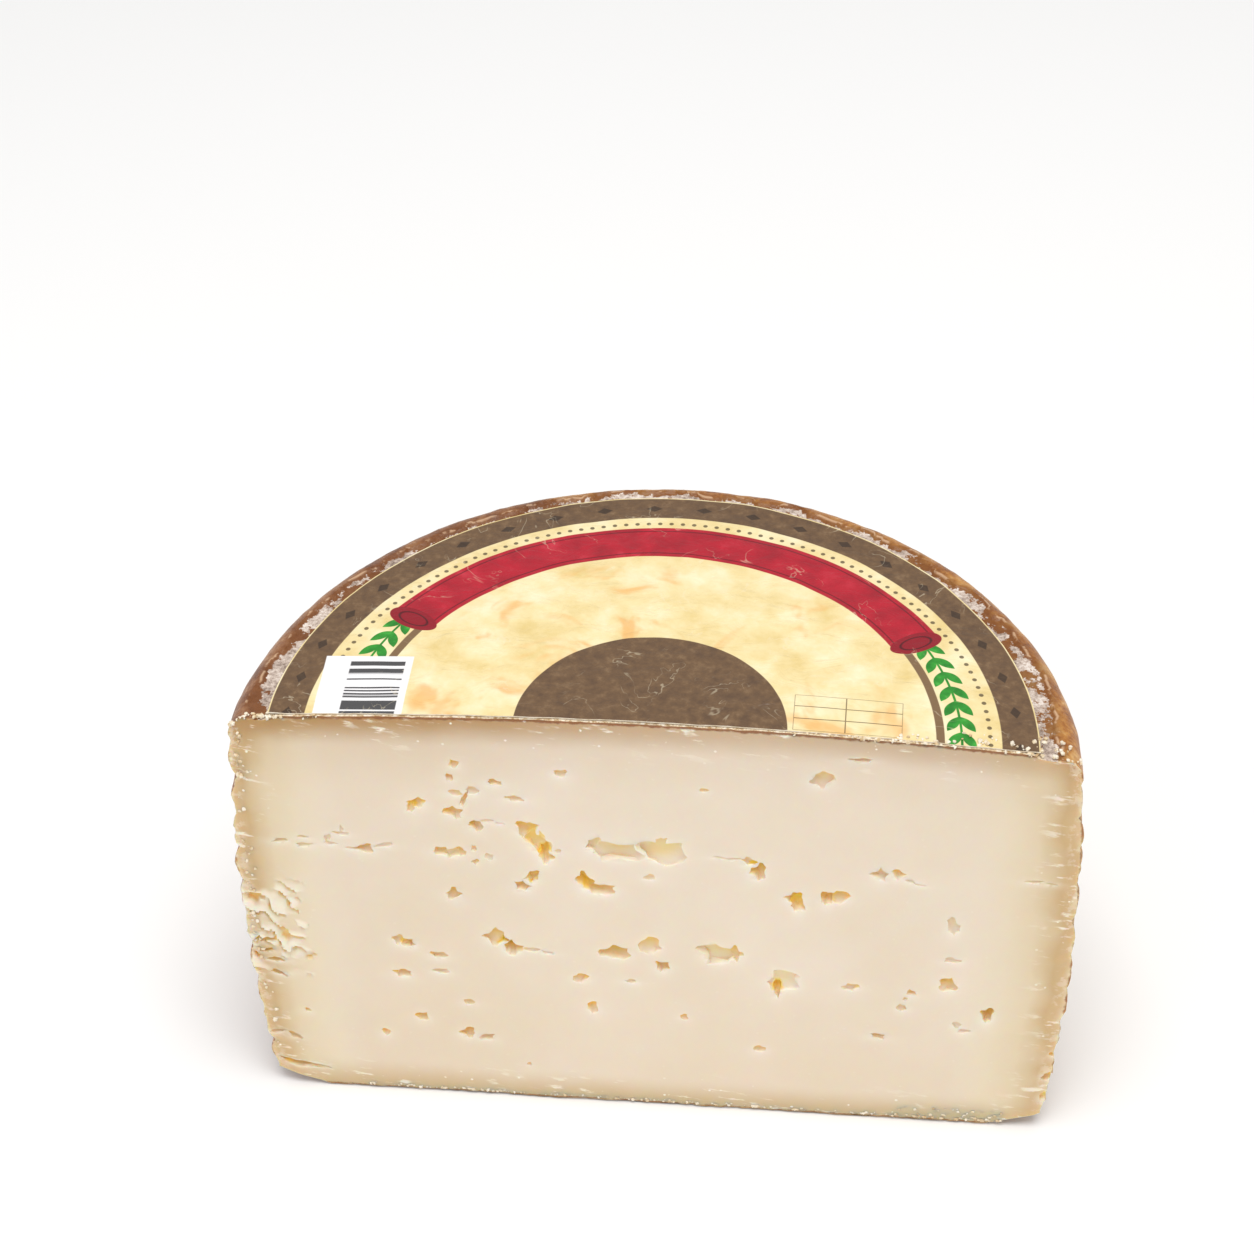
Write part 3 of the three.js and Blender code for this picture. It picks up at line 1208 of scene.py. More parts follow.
EYES = tuple(Eye(*row) for row in (
    (-42.5, 106, 2.3, 2.4), (-43.5, 102, 2.3, 2.3), (-34, 101, 3.5, 2, 0.6), (-19.3, 104.8, 3.2, 2.3, 0.6),
    (-51.4, 93.9, 3.8, 2.8, 1.0, 20), (-42.3, 97.6, 3.2, 2, 0.6), (-41, 95.3, 1.4, 5, 0.6, -25),
    (-43.2, 91.6, 4, 3.4, 0.8), (-38.8, 98.5, 3.2, 2.5, 0.5), (-29.6, 96.6, 4.2, 1.7, 0.6),
    (-38.6, 88.3, 3, 4, 1.0, 30), (-35.8, 89.6, 3.2, 1.1, 0.3, 8), (-27.2, 87.6, 5.4, 5.2, 0.7),
    (-24.8, 83.5, 4.8, 6.4, 0.6, 30), (-23.4, 79.8, 3.4, 4.6, 1.1), (-24, 86, 1.3, 2.8, 0.5, 20),
    (-26.8, 73, 2.6, 4.6, 0.9, -35), (-28.8, 70.2, 3.6, 3.6, 0.8), (-20.5, 81.6, 1.7, 1.3, 0.6),
    (-39.3, 80.9, 1.3, 2.1, 0.6), (-35.9, 78.8, 2.2, 2.3, 0.4), (-39.1, 77, 1.6, 1.8, 0.8),
    (-46.7, 79.6, 3.8, 2.6, 1.0), (-42.4, 79.8, 3, 2.7, 1.0), (-44.4, 79, 5.6, 2.5, 0.5),
    (-12.6, 84.2, 4.6, 5.2, 0.5), (-7.6, 82.5, 11, 6.6, 0.36), (2.1, 83, 10, 7.6, 0.36),
    (2.3, 86, 2.4, 3.8, 0.7),
    (-14.6, 72.3, 3.8, 6, 1.0, 15), (-11.6, 70.5, 7, 4.2, 0.8, 10), (-0.5, 75, 2.6, 1.9, 0.5),
    (23.2, 78.6, 3.6, 5.4, 1.1), (21.3, 81.5, 3.8, 2.2, 0.5, -30), (18.2, 82.1, 3.6, 1.0, 0.3, 4),
    (44.5, 113, 4.8, 1.3, 0.5), (36.5, 107, 4.8, 4.6, 0.5), (11.5, 102, 2, 1.4, 0.6),
    (50, 79.8, 4.2, 4, 0.5), (53.9, 80.1, 3.2, 3.2, 0.7), (56.6, 78.3, 3.0, 1.1, 0.4, -30),
    (31.4, 71.2, 4.2, 3.8, 1.1), (32.3, 68.6, 3.2, 4.2, 0.9), (38.7, 71.4, 2.8, 5, 1.2),
    (41.2, 72.1, 4.6, 3.6, 0.8), (66.7, 65, 2.7, 5.2, 0.4, 15), (66.9, 54.2, 3.6, 1.8, 0.4),
    (66.5, 46.2, 4, 4.3, 0.9), (75.7, 37, 3, 5.4, 1.3), (68.9, 33.5, 2.2, 2.6, 0.4),
    (70.7, 31.5, 2.8, 1.7, 0.4),
    (83.4, 80.0, 3.8, 1.0, 0.3, -2), (51.5, 28.1, 3.6, 2, 0.7), (24.4, 21.4, 2.6, 2.4, 0.7),
    (44.6, 43.9, 3.6, 2.6, 0.6), (58.5, 43, 2.3, 2.3, 0.7), (57, 41, 1.2, 1.3, 0.8),
    (56.5, 38, 2.8, 2.6, 0.5),
    (15, 52, 9.6, 6.8, 0.36), (18.5, 52.5, 3.2, 5, 0.8), (29.3, 44.6, 7.6, 6, 0.36),
    (28.1, 41, 2.1, 4.2, 1.3),
    (-63.8, 79.2, 5, 2.8, 0.8), (-59.2, 80.5, 4.2, 1.4, 0.3, 14), (-67, 79, 2.6, 0.9, 0.4),
    (-82.6, 80.1, 3.8, 1.4, 0.4, 15), (-77.6, 81.6, 3, 1.0, 0.4), (-77.4, 79.2, 3.8, 1.3, 0.4, 12),
    (-72, 81.5, 1.3, 3.4, 0.4, -20), (-71.5, 80, 3.4, 1.1, 0.4), (-68.8, 83.3, 3.6, 1.3, 0.4),
    (-68.5, 84.6, 1.0, 2.4, 0.4), (-57.7, 51, 3.2, 3.4, 0.6), (-55.6, 49.6, 3.4, 2.6, 1.1, -30),
    (-49.1, 46.4, 3.8, 2.3, 0.6), (-57.7, 39.8, 4.2, 2.5, 0.8), (-48.8, 41.3, 3.4, 1.9, 0.5),
    (-35.5, 53.5, 5.6, 5.2, 0.6), (-32, 50.3, 5.2, 4.8, 1.2), (-27.4, 49.9, 3.6, 1.5, 0.4, -4),
    (-8.5, 50.5, 6.2, 4.2, 1.1), (-0.5, 53.5, 4.8, 5, 0.6), (2, 47, 3.2, 3.6, 1.1),
    (-44.5, 66.5, 3.6, 3.6, 0.8),
    (-16.5, 41.5, 3.6, 2.8, 0.7), (-5, 41.5, 2.8, 1.5, 0.5), (-42.5, 31.5, 3, 2.1, 0.6),
    (-54, 25.5, 3.2, 2.8, 0.8), (-14, 32, 2.7, 3.4, 0.8), (7, 30.5, 1.8, 2.1, 0.8), (-63, 19.5, 2, 2.3, 0.8),
    (-43.5, 21, 3.8, 3.4, 0.9), (-39, 20, 3.6, 2.7, 0.6), (-29.5, 11.5, 1.2, 1.4, 0.8),
    (-81, 25.5, 1.8, 1.5, 0.8), (-89, 48, 5.6, 1.7, 0.6, 8), (-87, 41.8, 5.6, 1.5, 0.6, -12),
    (-89, 44.5, 4.4, 1.2, 0.6, 14), (-86.6, 37.4, 3.8, 1.7, 0.5, -25), (-88.5, 61.5, 2.8, 1.9, 0.5),
    (-84.9, 16.3, 3.4, 1.7, 0.5, -30), (-88.8, 17.4, 3.6, 1.3, 0.4, 10), (-83.5, 6.6, 10.5, 2.2, 0.9, -8),
    (91.0, 17.5, 3.4, 2.6, 0.8, 20), (90.2, 10.6, 2.6, 3.2, 0.8), (91.6, 25.0, 2.4, 2.0, 0.8, -20),
    (15.0, 82.3, 3.0, 0.8, 0.3, -5), (-24.0, 49.3, 3.4, 1.1, 0.3, -10), (-33.2, 89.0, 2.4, 0.9, 0.3, -14),
    (58.8, 77.2, 2.6, 0.8, 0.3, -14), (87.0, 79.6, 2.8, 0.8, 0.3, -12), (-52.6, 92.4, 2.0, 2.8, 0.8, -15),
))


@dataclass
class CheeseHalf:
    """The half wheel itself: one closed mesh with a cut face, a relief on the rind and open eyes."""

    node: str = "cheese_half"
    rows: int = 120
    rim_columns: int = 26
    cut_pitch: float = 1.25
    steps: int = 64
    splits: int = 4
    cut_back: float = 0.5
    edge_lift: float = 0.3
    crumb_doublings: int = 9
    strewn_from: float = 42.0
    strewn_reach: float = 5.0
    torn_side: float = -74.0
    torn_heights: tuple[float, float] = (34.0, 74.0)
    ring_limit: float = 4.0
    overhang: float = 0.5
    band_pitch: float = 10.5
    strand_pitch: float = 9.5
    seed: int = 5
    inner_stations: tuple[float, ...] = (0.0, 22.0, 42.0, 58.0, 68.0, 74.0)
    noises: dict[str, Lattice] = field(default_factory=dict)

    def build(self) -> bpy.types.Object:
        """Model the half and dress it.

        Returns:
            The finished piece.
        """
        names = ("lumps", "wander", "fibres", "strength", "top", "cut", "flakes", "eyes")
        self.noises = {name: Lattice(self.seed + i) for i, name in enumerate(names)}
        body = self._body()
        self._relief(body)
        self._refine_flakes(body)
        self._dress(body)
        self._roughen_cut(body)
        self._open_eyes(body)
        self._mark_cut(body)
        body = Mesh.join([body, self._crumbs()], "cheese_body")
        Mesh.only(body)
        bpy.ops.object.shade_smooth_by_angle(angle=math.radians(38))
        Mesh.settle(body)
        return body

    def _shares(self) -> Array:
        """Places of the columns along the top and the base, from 0 on the axis to 1 on the rim.

        Returns:
            The places, in order.
        """
        inner, _ = FORM.shoulder(np.array(math.pi / 2))
        length = float(inner) + FORM.shoulder_width
        rim = np.linspace(self.inner_stations[-1], length, self.rim_columns + 1)[1:]
        return np.concatenate([self.inner_stations, rim]) / length

    def _body(self) -> bpy.types.Object:
        """Shape the section and spin it to a half wheel.

        Returns:
            The smooth half wheel.
        """
        shares = self._shares()
        grid = Mesh.section("cheese_body", len(shares) - 1, self.rows)
        unit = Mesh.points(grid) * MM
        u = shares[np.rint(unit[:, 0] * (len(shares) - 1)).astype(int)]
        v = np.clip(unit[:, 1], 0.0, 1.0)
        base = np.stack(FORM.base_edge(u))
        top = np.stack(FORM.top_edge(u))
        side = np.stack(FORM.right_edge(v))
        axis = np.stack([np.zeros_like(v), v * WHEEL_HEIGHT])
        corners = [np.stack(edge(np.array(end))).reshape(2, 1)
                   for edge in (FORM.base_edge, FORM.top_edge) for end in (0.0, 1.0)]
        flat = (1 - u) * (1 - v) * corners[0] + u * (1 - v) * corners[1]
        flat += (1 - u) * v * corners[2] + u * v * corners[3]
        radius, height = (1 - v) * base + v * top + (1 - u) * axis + u * side - flat
        Mesh.put(grid, np.stack([radius, np.full_like(radius, AXIS_Y), height], axis=1))
        Mesh.mark(grid, "column", np.rint(unit[:, 0] * (len(shares) - 1)))
        Mesh.turn(grid, self.steps)
        self._refine_columns(grid)
        Mesh.split_rings(grid, self.splits)
        return grid

    def _refine_columns(self, body: bpy.types.Object) -> None:
        """Split the wide columns of the cut, so that it can carry fine marks.

        Args:
            body: The half wheel.
        """
        for column, width in enumerate(np.diff(self.inner_stations)):
            number = np.empty(len(body.data.vertices), dtype=np.float32)
            body.data.attributes["column"].data.foreach_get("value", number)
            ends = Mesh.edge_ends(body)
            on_cut = (Mesh.points(body)[:, 1] < AXIS_Y + 0.01)[ends].all(axis=1)
            between = np.abs(number[ends].mean(axis=1) - column - 0.5) < 0.01
            across = np.abs(np.diff(number[ends], axis=1)[:, 0]) > 0.99
            Mesh.split_edges(body, on_cut & between & across, round(width / self.cut_pitch) - 1)
        body.data.attributes.remove(body.data.attributes["column"])

    def _rind_depth(self, along: Array, height: Array) -> Array:
        """How far the rind lies under the smooth side.

        Args:
            along: Distance round the wheel.
            height: Height above the base.

        Returns:
            Depth, never negative.
        """
        n = self.noises
        wobble = 1.6 * n["wander"](along / 24, height / 30)
        bands = (height - FORM.foot_height + wobble) / self.band_pitch
        phase = bands - np.floor(bands)
        strength = 0.72 + 0.6 * n["strength"](along / 34, height / 15)
        groove = 1.15 * (1 - np.abs(np.sin(math.pi * phase)) ** 0.7) * strength
        lean = np.where(phase < 0.5, 1.0, -1.0) * (phase - 0.5) * self.band_pitch * 1.1
        strand = (along + lean) / self.strand_pitch + 0.37 * np.floor(bands)
        strand += 0.25 * n["wander"](along / 11, height / 9, 5.0)
        plait = 0.55 * (1 - np.abs(np.sin(math.pi * strand)) ** 0.8) * strength
        fibres = 0.34 * (1 + n["fibres"].layers(along / 5.5, height / 1.9, count=2))
        lumps = 0.45 * (1 + n["lumps"].layers(along / 17, height / 15))
        return np.maximum(groove + plait + fibres + lumps - 0.35, 0.0)

    def _ring_edge(self, along: Array) -> Array:
        """Radius where the sunk ring beside the label ends, at a distance round the wheel.

        Args:
            along: Distance round the wheel.

        Returns:
            Radius.
        """
        n = self.noises["top"]
        blocks = np.round(1.4 * n(along / 7.0, along * 0.0 + 3.0)) / 1.4
        return 86.4 + 1.4 * blocks + 0.9 * n.layers(along / 4.0, along * 0.0 + 9.0)

    def _relief(self, body: bpy.types.Object) -> None:
        """Press the plaited mould into the side, and lower the ring beside the label.

        Args:
            body: The half wheel.
        """
        p = Mesh.points(body)
        x, deep, height = p[:, 0], p[:, 1] - AXIS_Y, p[:, 2]
        radius = np.hypot(x, deep)
        angle = np.arctan2(x, deep)
        along = angle * WHEEL_RADIUS
        inside = np.maximum(FORM.side(height) - radius, 0.0)
        reach = 1 - smooth(inside, 0.0, 14.0)
        standing = smooth(height, 3.0, 9.0) * (1 - smooth(height, 106.0, 113.0))
        soft = 0.35 * (1 + self.noises["lumps"].layers(along / 12, height / 12)) * smooth(height, 2.0, 6.0)
        sunk = (self._rind_depth(along, height) * standing + soft * (1 - standing)) * reach
        shrunk = np.where(radius > 1e-6, (radius - sunk) / np.maximum(radius, 1e-6), 1.0)
        p[:, 0] = x * shrunk
        p[:, 1] = AXIS_Y + deep * shrunk
        n = self.noises["top"]
        ring = smooth(radius, 80.5, 82.0) * (1 - smooth(radius - self._ring_edge(along), -0.5, 0.5))
        below_top = np.maximum(FORM.top(radius) - height, 0.0)
        lid = (1 - smooth(below_top, 0.0, 7.0)) * (1 - smooth(radius, 92.0, 94.0))
        rough = 0.25 * (1 + n.layers(x / 3.0, deep / 3.0, 1.5)) * smooth(radius, 80.0, 84.0)
        p[:, 2] -= (0.75 * ring + rough + 0.05) * lid
        Mesh.put(body, p)

    def _cut_faces(self, piece: bpy.types.Object) -> Array:
        """Tell the faces of the cut by their direction and place.

        Args:
            piece: The half wheel.

        Returns:
            True for each face of the cut.
        """
        count = len(piece.data.polygons)
        normals, centres = np.empty(count * 3), np.empty(count * 3)
        piece.data.polygons.foreach_get("normal", normals)
        piece.data.polygons.foreach_get("center", centres)
        facing = normals.reshape(-1, 3)[:, 1] < -0.5
        return facing & (centres.reshape(-1, 3)[:, 1] / MM < AXIS_Y + 1.5)

    def _refine_flakes(self, body: bpy.types.Object) -> None:
        """Split the faces of the cut where the paste has torn into flakes.

        Args:
            body: The half wheel.
        """
        cut = self._cut_faces(body)
        centres = np.empty(len(body.data.polygons) * 3)
        body.data.polygons.foreach_get("center", centres)
        centres = centres.reshape(-1, 3) / MM
        lowest, highest = self.torn_heights
        torn = cut & (centres[:, 0] < self.torn_side) & (centres[:, 2] > lowest) & (centres[:, 2] < highest)
        Mesh.only(body)
        bpy.ops.object.mode_set(mode="EDIT")
        bpy.ops.mesh.select_mode(type="FACE")
        bpy.ops.mesh.select_all(action="DESELECT")
        bpy.ops.object.mode_set(mode="OBJECT")
        body.data.polygons.foreach_set("select", torn)
        bpy.ops.object.mode_set(mode="EDIT")
        bpy.ops.mesh.subdivide(number_cuts=1)
        bpy.ops.mesh.select_mode(type="VERT")
        bpy.ops.object.mode_set(mode="OBJECT")

    def _cut_depth(self, x: Array, z: Array) -> Array:
        """How far the cut lies behind the wheel's middle, without its torn side.

        Args:
            x: Distance from the axis.
            z: Height above the base.

        Returns:
            Depth.
        """
        n = self.noises["cut"]
        to_side = np.maximum(FORM.side(z) - np.abs(x), 0.0)
        to_end = np.minimum(FORM.top(x) - z, z)
        wave = 0.12 * n.layers(x / 24, z / 18)
        rim = np.maximum(1 - smooth(to_side, 0.4, 4.4), 0.7 * (1 - smooth(to_end, 0.0, 2.2)))
        crumble = rim * (0.25 + 0.4 * n.layers(x / 1.7, z / 1.7, 4.0))
        hollow = smooth(np.abs(x) - 80, 0.0, 12.0) * (0.3 + 0.5 * n.layers(x / 6, z / 5, 8.0))
        return self.cut_back + wave + crumble + hollow

    def _torn(self, x: Array, z: Array) -> tuple[Array, Array, Array]:
        """Flakes that the knife has torn from the left side, each over a crevice.

        Args:
            x: Distance from the axis.
            z: Height above the base.

        Returns:
            Extra depth, how pale the surface is (the pale dry fronts of the flakes plus painted light on them),
            and how far it is open beneath the flakes.
        """
        n = self.noises["flakes"]
        reach = 79.0 + 6.5 * n.layers(z / 2.1, x / 9.0, 3.0)
        zone = smooth(-x, reach, reach + 1.6) * smooth(z, 36.0, 40.0) * (1 - smooth(z, 63.0, 70.0))
        phase = z / 4.6 + 0.1 * x + 0.95 * n.layers(x / 4.4, z / 7.0, 1.0, count=2)
        phase += 0.22 * n(x / 1.5, z / 1.7, 2.0)
        phase -= np.floor(phase)
        lifted = smooth(n.layers(x / 4.6, z / 3.2, 15.0, count=2), -0.22, 0.02)
        crevice = lifted * smooth(phase, 0.70, 0.82) * smooth(n(x / 2.2, z / 3.0, 9.0), -0.3, 0.1)
        depth = zone * (lifted * (-0.4 + 0.8 * phase) + 0.8 * crevice)
        # Pale fronts of the lifted flakes: partly their dry paste, partly painted light where their upper faces
        # catch the lamps.
        pale = zone * lifted * (1 - crevice) * (0.25 + 0.75 * smooth(1 - phase, 0.15, 0.7))
        return depth, pale, zone * crevice

    def _roughen_cut(self, body: bpy.types.Object) -> None:
        """Set the cut back a little, wave it, tear its edges and its left side, and lift its lower edge.

        Args:
            body: The half wheel.
        """
        p = Mesh.points(body)
        on_cut = p[:, 1] < AXIS_Y + 0.01
        x, z = p[on_cut, 0], p[on_cut, 2]
        depth, _, _ = self._torn(x, z)
        near_cut = 1 - smooth(p[:, 1] - AXIS_Y, 1.0, 6.0)
        low = 1 - smooth(p[:, 2], 0.0, 6.0)
        waves = self.edge_lift * (1 + self.noises["cut"].layers(p[:, 0] / 6, p[:, 1] / 9, 12.0))
        p[:, 2] += near_cut * low * waves
        p[on_cut, 1] = AXIS_Y + np.maximum(self._cut_depth(x, z) + depth, 0.03)
        behind = p[:, 1] - AXIS_Y
        near = ~on_cut & (behind < 3.0)
        least = self._cut_depth(p[near, 0], p[near, 2]) + self._torn(p[near, 0], p[near, 2])[0]
        p[near, 1] = AXIS_Y + np.maximum(behind[near], least + 0.02 + 0.1 * behind[near])
        Mesh.put(body, p)

    def _mark_cut(self, body: bpy.types.Object) -> None:
        """Leave marks for the finish: depth in an opening, golden painted shade under the openings' upper edges
        and in crevices, a pale painted-light halo under openings, and pale fronts of the flakes that are partly
        painted light.

        Args:
            body: The half wheel.
        """
        p = Mesh.points(body)
        x, z = p[:, 0], p[:, 2]
        deep = p[:, 1] - AXIS_Y
        sunk = deep - self._cut_depth(x, z)
        _, pale, crevice = self._torn(x, z)
        face = 1 - smooth(sunk, 0.1, 0.5)
        # The gold mark is painted golden shade: in the crevices under the torn flakes here, and under the upper
        # edges of the openings below.
        lit_smeared_rim, gold = np.zeros(len(p)), 0.5 * smooth(crevice, 0.2, 0.9)
        for eye in EYES:
            across, up = (x - eye.across) / eye.width * 2, (z - eye.height) / eye.tall * 2
            away = np.hypot(across, up)
            beyond = (away - 0.85) * (eye.width + eye.tall) / 4
            below = np.clip(-up / np.maximum(away, 0.01), -0.6, 1.0)
            # Painted light on the lower rim of each opening, stronger below it, where the paste is also
            # smeared.
            ring = np.exp(-np.maximum(beyond, 0.0) / 1.3) * (0.5 + 0.5 * below) * (beyond > -0.2)
            lit_smeared_rim = np.maximum(lit_smeared_rim, ring * min(1.0, eye.width / 3))
            # Painted golden shade under the upper edge of the opening, where the lip shades the wall.
            upper_wall_shade = smooth(np.array(eye.depth), 0.2, 0.85) * (0.1 + 0.9 * smooth(up, -0.7, 0.45))
            gold = np.maximum(gold, upper_wall_shade * (away < 1.3) * smooth(sunk, 0.05, 0.5))
        lit_smeared_rim *= 0.65 + 0.35 * self.noises["cut"].layers(x / 3, z / 3, 20.0)
        along = np.arctan2(x, deep) * WHEEL_RADIUS
        limit = self.ring_limit
        within = np.clip(self._ring_edge(along) - np.hypot(x, deep), -limit, limit)
        Mesh.mark(body, "ring", np.where(z > WHEEL_HEIGHT - 8.0, within, -limit))
        Mesh.mark(body, "sunk", np.clip(sunk, 0.0, 6.0))
        Mesh.mark(body, "gold", gold)
        Mesh.mark(body, "lit_smeared_rim", lit_smeared_rim * face)
        Mesh.mark(body, "lit_flake_front", np.clip(pale, 0.0, 1.0) * face)

    def _crumbs(self) -> bpy.types.Object:
        """Scatter small crumbs along the edges of the cut.

        Returns:
            All the crumbs as one object.
        """
        Mesh.clear_selection()
        bpy.ops.mesh.primitive_ico_sphere_add(subdivisions=1, radius=1.0)
        crumbs = bpy.context.object
        bpy.ops.object.mode_set(mode="EDIT")
        for _ in range(self.crumb_doublings):
            bpy.ops.mesh.select_all(action="SELECT")
            bpy.ops.mesh.duplicate()
        bpy.ops.object.mode_set(mode="OBJECT")
        count = 2**self.crumb_doublings
        rng = np.random.default_rng(77)
        unit = Mesh.points(crumbs).reshape(count, -1, 3) * MM
        size = rng.uniform(0.22, 0.62, (count, 1, 1)) * rng.uniform(0.7, 1.3, (count, 1, 3))
        shape = unit * rng.uniform(0.75, 1.15, unit.shape[:2] + (1,)) * size
        lane = rng.choice(5, count, p=(0.24, 0.14, 0.17, 0.33, 0.12))
        run = rng.uniform(0.0, 1.0, count)
        spread = rng.uniform(0.0, 1.0, count) ** 2
        left = 12 + 100 * run
        x = np.choose(lane, (30 + 61 * run, -91 + 20 * run, 56 + 25 * run, -68 + 124 * run,
                             2.4 + 2.5 * spread - FORM.side(left)))
        z = np.choose(lane, (FORM.top(x) - 0.5 * spread, FORM.top(x) - 0.3 - 0.5 * spread,
                             1.1 + 3.5 * spread, 0.9 + 0.8 * spread, left))
        over = np.maximum(np.abs(x) - 86.0, 0.0)
        z -= np.where(lane < 2, 0.22 * over**1.6, 0.0)
        strewn = rng.uniform(0.0, 1.0, count)
        deep = np.where(lane < 2, 0.9 + 1.2 * strewn, 0.85)
        on_label = (lane == 0) & (x > self.strewn_from)
        reach = self.strewn_reach * smooth(x[on_label], 36.0, 80.0)
        deep[on_label] = 1.0 + strewn[on_label] ** 2 * reach
        z[on_label] += 0.75 * smooth(deep[on_label], 1.2, 2.0)
        centre = np.stack([x, AXIS_Y + deep, z], axis=1)[:, None, :]
        p = (shape + centre).reshape(-1, 3)
        p[:, 1] = np.maximum(p[:, 1], AXIS_Y + 0.02)
        p[:, 2] = np.maximum(p[:, 2], 0.1)
        Mesh.put(crumbs, p)
        crumbs.data.materials.append(CrumbFinish().build())
        return crumbs

    def _dress(self, body: bpy.types.Object) -> None:
        """Give the cut the paste and everything else the rind.

        Args:
            body: The half wheel.
        """
        body.data.materials.clear()
        body.data.materials.append(RindFinish().build())
        body.data.materials.append(PasteFinish().build())
        body.data.polygons.foreach_set("material_index", self._cut_faces(body).astype(int))

    def _cutter(self, eye: Eye, number: int) -> bpy.types.Object:
        """Model the gap between a few curd grains.

        Args:
            eye: The opening that it makes.
            number: Its place in the list, which its shape is drawn from.

        Returns:
            The gap as a closed solid, centred on the cut.
        """
        rng = np.random.default_rng(1000 + number)
        finest = 3 if max(eye.width, eye.tall) > 3.3 else 2
        Mesh.clear_selection()
        bpy.ops.mesh.primitive_ico_sphere_add(subdivisions=finest, radius=1.0)
        gap = bpy.context.object
        directions = Mesh.points(gap) * MM
        directions /= np.linalg.norm(directions, axis=1)[:, None]
        count = int(rng.integers(4, 7))
        turns = (np.arange(count) + rng.uniform(-0.42, 0.42, count)) / count * math.tau
        turns += rng.uniform(0, math.tau)
        reach = np.full(len(directions), 1.2)
        for turn in turns:
            away = rng.uniform(1.3, 1.8)
            centre = away * np.array([math.cos(turn), rng.uniform(-0.25, 0.35), math.sin(turn)])
            closest = rng.uniform(0.55, 0.95)
            ball = np.linalg.norm(centre) - closest
            towards = directions @ centre
            inside = towards**2 - (centre @ centre - ball**2)
            hit = (inside > 0) & (towards > 0)
            met = np.where(hit, towards - np.sqrt(np.maximum(inside, 0.0)), reach)
            reach = np.minimum(reach, met)
        reach *= 1 + 0.16 * self.noises["eyes"].layers(*(directions * 2.6 + number).T, count=2)
        size = np.array([eye.width, eye.depth * (eye.width + eye.tall) / 2, eye.tall]) / 2
        shape = directions * reach[:, None] * size
        shape[:, 2] += self.overhang * np.maximum(shape[:, 1], 0.0)
        cos, sin = math.cos(math.radians(eye.tilt)), math.sin(math.radians(eye.tilt))
        shape[:, [0, 2]] = shape[:, [0, 2]] @ np.array([[cos, sin], [-sin, cos]])
        face = float(self._cut_depth(np.array([eye.across]), np.array([eye.height]))[0])
        shape += np.array([eye.across, AXIS_Y + face, eye.height])
        Mesh.put(gap, shape)
        gap.data.materials.append(bpy.data.materials["paste"])
        return gap

    def _open_eyes(self, body: bpy.types.Object) -> None:
        """Cut the eyes, in a few rounds of gaps that stay clear of each other.

        Args:
            body: The half wheel.
        """
        rounds: list[list[tuple[int, Eye]]] = []
        for number, eye in enumerate(EYES):
            for group in rounds:
                if all(eye.clear_of(other) for _, other in group):
                    group.append((number, eye))
                    break
            else:
                rounds.append([(number, eye)])
        for group in rounds:
            gaps = Mesh.join([self._cutter(eye, number) for number, eye in group], "eye_gaps")
            cut = body.modifiers.new("eyes", "BOOLEAN")
            cut.operation = "DIFFERENCE"
            cut.solver = "MANIFOLD"
            cut.object = gaps
            Mesh.apply(body, cut)
            bpy.data.objects.remove(gaps, do_unlink=True)


@dataclass
class PaperLabel:
    """The half label: a thin sheet that follows the dome, with soft wrinkles and a lifting edge."""

    node: str = "paper_label"
    rings: int = 64
    steps: int = 50
    splits: int = 2
    lift: float = 0.04
    thickness: float = 0.3
    wrinkle: float = 0.36
    edge_lift: float = 0.45
    behind_cut: float = 1.15

    def build(self) -> bpy.types.Object:
        """Model the label and dress it.

        Returns:
            The finished piece.
        """
        sheet = Mesh.section("label_sheet", self.rings, 1)
        unit = Mesh.points(sheet) * MM
        radius = unit[:, 0] * LABEL_RADIUS
        height = FORM.top(radius) + self.lift + unit[:, 1] * self.thickness
        Mesh.put(sheet, np.stack([radius, np.full_like(radius, AXIS_Y), height], axis=1))
        Mesh.turn(sheet, self.steps)
        Mesh.split_rings(sheet, self.splits)
        p = Mesh.points(sheet)
        x, deep = p[:, 0], p[:, 1] - AXIS_Y
        radius = np.hypot(x, deep)
        folds = Lattice(31).layers(x / 13, deep / 8, 0.5, 3)
        ridges = 1 - np.abs(Lattice(32).layers(x / 17, deep / 15, 2.0, 2)) * 2.2
        settled = 0.25 + 0.75 * smooth(deep, 1.0, 8.0)
        crumpled = np.clip(0.55 * (folds + 0.6) + 0.45 * np.maximum(ridges, 0), 0.0, 1.0)
        p[:, 2] += self.wrinkle * settled * crumpled
        wavy = 0.5 + 0.5 * Lattice(33)(np.arctan2(x, deep) * 5, x * 0.0)
        p[:, 2] += self.edge_lift * smooth(radius, 77.0, LABEL_RADIUS) * wavy
        front = self.behind_cut + 0.18 * Lattice(34).layers(x / 5, x * 0.0 + 2.0)
        p[:, 1] = AXIS_Y + np.maximum(deep, front + 0.05 * deep)
        Mesh.put(sheet, p)
        sheet.data.materials.clear()
        sheet.data.materials.append(LabelPrint().build())
        sheet.data.materials.append(self._bare_edge())
        normals = np.empty(len(sheet.data.polygons) * 3)
        sheet.data.polygons.foreach_get("normal", normals)
        rim = np.abs(normals.reshape(-1, 3)[:, 2]) < 0.5
        sheet.data.polygons.foreach_set("material_index", rim.astype(int))
        Mesh.only(sheet)
        bpy.ops.object.shade_smooth_by_angle(angle=math.radians(50))
        Mesh.settle(sheet)
        return sheet

    def _bare_edge(self) -> bpy.types.Material:
        """Make the finish of the paper's torn and cut edges.

        Returns:
            The material.
        """
        g = NodeGraph("paper_edge")
        tone = g.noise(g.place, 1.5, 3.0)
        g.set(g.shader.inputs["Base Color"], g.ramp(tone, (0.35, "dccbb0"), (0.6, "f4ead8")))
        g.shader.inputs["Roughness"].default_value = 0.8
        return g.material


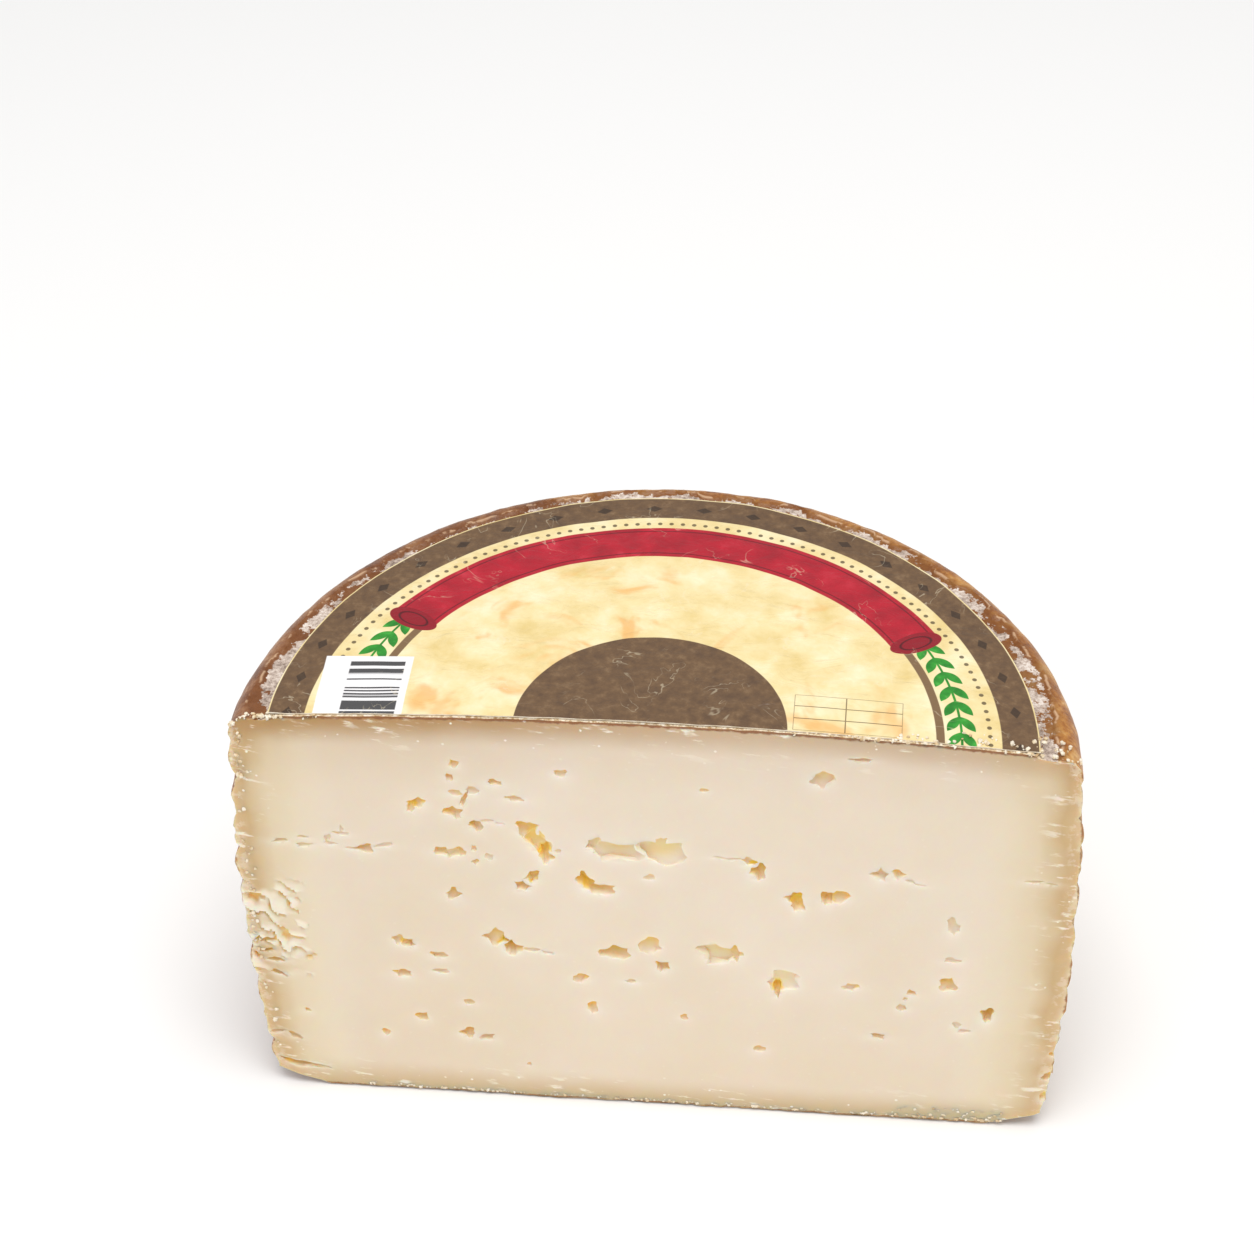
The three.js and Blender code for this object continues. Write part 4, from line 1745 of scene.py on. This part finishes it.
@dataclass(frozen=True)
class Shot:
    """The camera's place and direction."""

    place: tuple[float, float, float] = (0.0467, -0.5139, 0.5408)
    yaw: float = math.radians(-6.23)
    pitch: float = math.radians(39.97)
    roll: float = math.radians(-1.23)
    lens: float = 86.0
    sensor: float = 36.0

    def build(self) -> bpy.types.Object:
        """Make the camera.

        Returns:
            The camera object.
        """
        data = bpy.data.cameras.new("camera")
        data.lens, data.sensor_width = self.lens, self.sensor
        camera = bpy.data.objects.new("camera", data)
        bpy.context.scene.collection.objects.link(camera)
        forward = Vector((math.sin(self.yaw) * math.cos(self.pitch),
                          math.cos(self.yaw) * math.cos(self.pitch), -math.sin(self.pitch)))
        right = Vector((math.cos(self.yaw), -math.sin(self.yaw), 0.0))
        up = right.cross(forward)
        across = math.cos(self.roll) * right + math.sin(self.roll) * up
        above = -math.sin(self.roll) * right + math.cos(self.roll) * up
        turn = Matrix((across, above, -forward)).transposed()
        camera.matrix_world = Matrix.Translation(self.place) @ turn.to_4x4()
        bpy.context.scene.camera = camera
        return camera


@dataclass(frozen=True)
class SoftBox:
    """One large square lamp that looks at the cheese."""

    name: str
    place: tuple[float, float, float]
    size: float
    power: float
    tint: Colour = (1.0, 1.0, 1.0)

    def build(self) -> None:
        """Hang the lamp."""
        data = bpy.data.lights.new(self.name, "AREA")
        data.size, data.energy, data.color = self.size, self.power, self.tint
        lamp = bpy.data.objects.new(self.name, data)
        lamp.location = self.place
        aim = Vector((0.0, 0.0, 0.05)) - Vector(self.place)
        lamp.rotation_euler = aim.to_track_quat("-Z", "Y").to_euler()
        bpy.context.scene.collection.objects.link(lamp)


@dataclass
class Studio:
    """A pale floor, soft lamps and the camera."""

    floor_size: float = 8.0
    floor_tone: str = "fafafa"
    sky: float = 0.56
    lamps: tuple[SoftBox, ...] = (
        SoftBox("key", (0.1, -0.32, 1.4), 0.8, 13.3, (1.0, 0.985, 0.96)),
        SoftBox("fill", (-0.9, -0.9, 0.8), 0.9, 2.0, (0.95, 0.97, 1.0)),
    )

    def build(self) -> None:
        """Set up the room."""
        Mesh.clear_selection()
        bpy.ops.mesh.primitive_plane_add(size=self.floor_size, location=(0.0, 0.0, -0.0002))
        floor = bpy.context.object
        floor.name = "floor"
        g = NodeGraph("floor_paper")
        g.set(g.shader.inputs["Base Color"], srgb(self.floor_tone))
        g.shader.inputs["Roughness"].default_value = 0.9
        g.shader.inputs["Specular IOR Level"].default_value = 0.2
        floor.data.materials.append(g.material)
        world = bpy.data.worlds.new("studio")
        world.use_nodes = True
        world.node_tree.nodes["Background"].inputs["Color"].default_value = (1.0, 1.0, 1.0, 1.0)
        world.node_tree.nodes["Background"].inputs["Strength"].default_value = self.sky
        bpy.context.scene.world = world
        for lamp in self.lamps:
            lamp.build()
        Shot().build()
        bpy.context.scene.view_settings.view_transform = "Standard"


def corners(box: tuple[Vector, Vector]) -> list[list[float]]:
    """Turn a box into plain lists."""
    return [list(corner) for corner in box]


def main() -> None:
    """Build the pieces in order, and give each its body."""
    logging.basicConfig(level=logging.INFO, format="%(name)s: %(message)s")
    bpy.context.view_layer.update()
    Studio().build()
    for maker, slot in ((CheeseHalf(), "cheese"), (PaperLabel(), "label_paper")):
        piece = maker.build()
        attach(piece, "root")
        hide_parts(maker.node)
        faces = sum(len(face.vertices) - 2 for face in piece.data.polygons)
        LOG.info("%s stands for %s, %d triangles", piece.name, maker.node, faces)


if __name__ == "__main__":
    main()
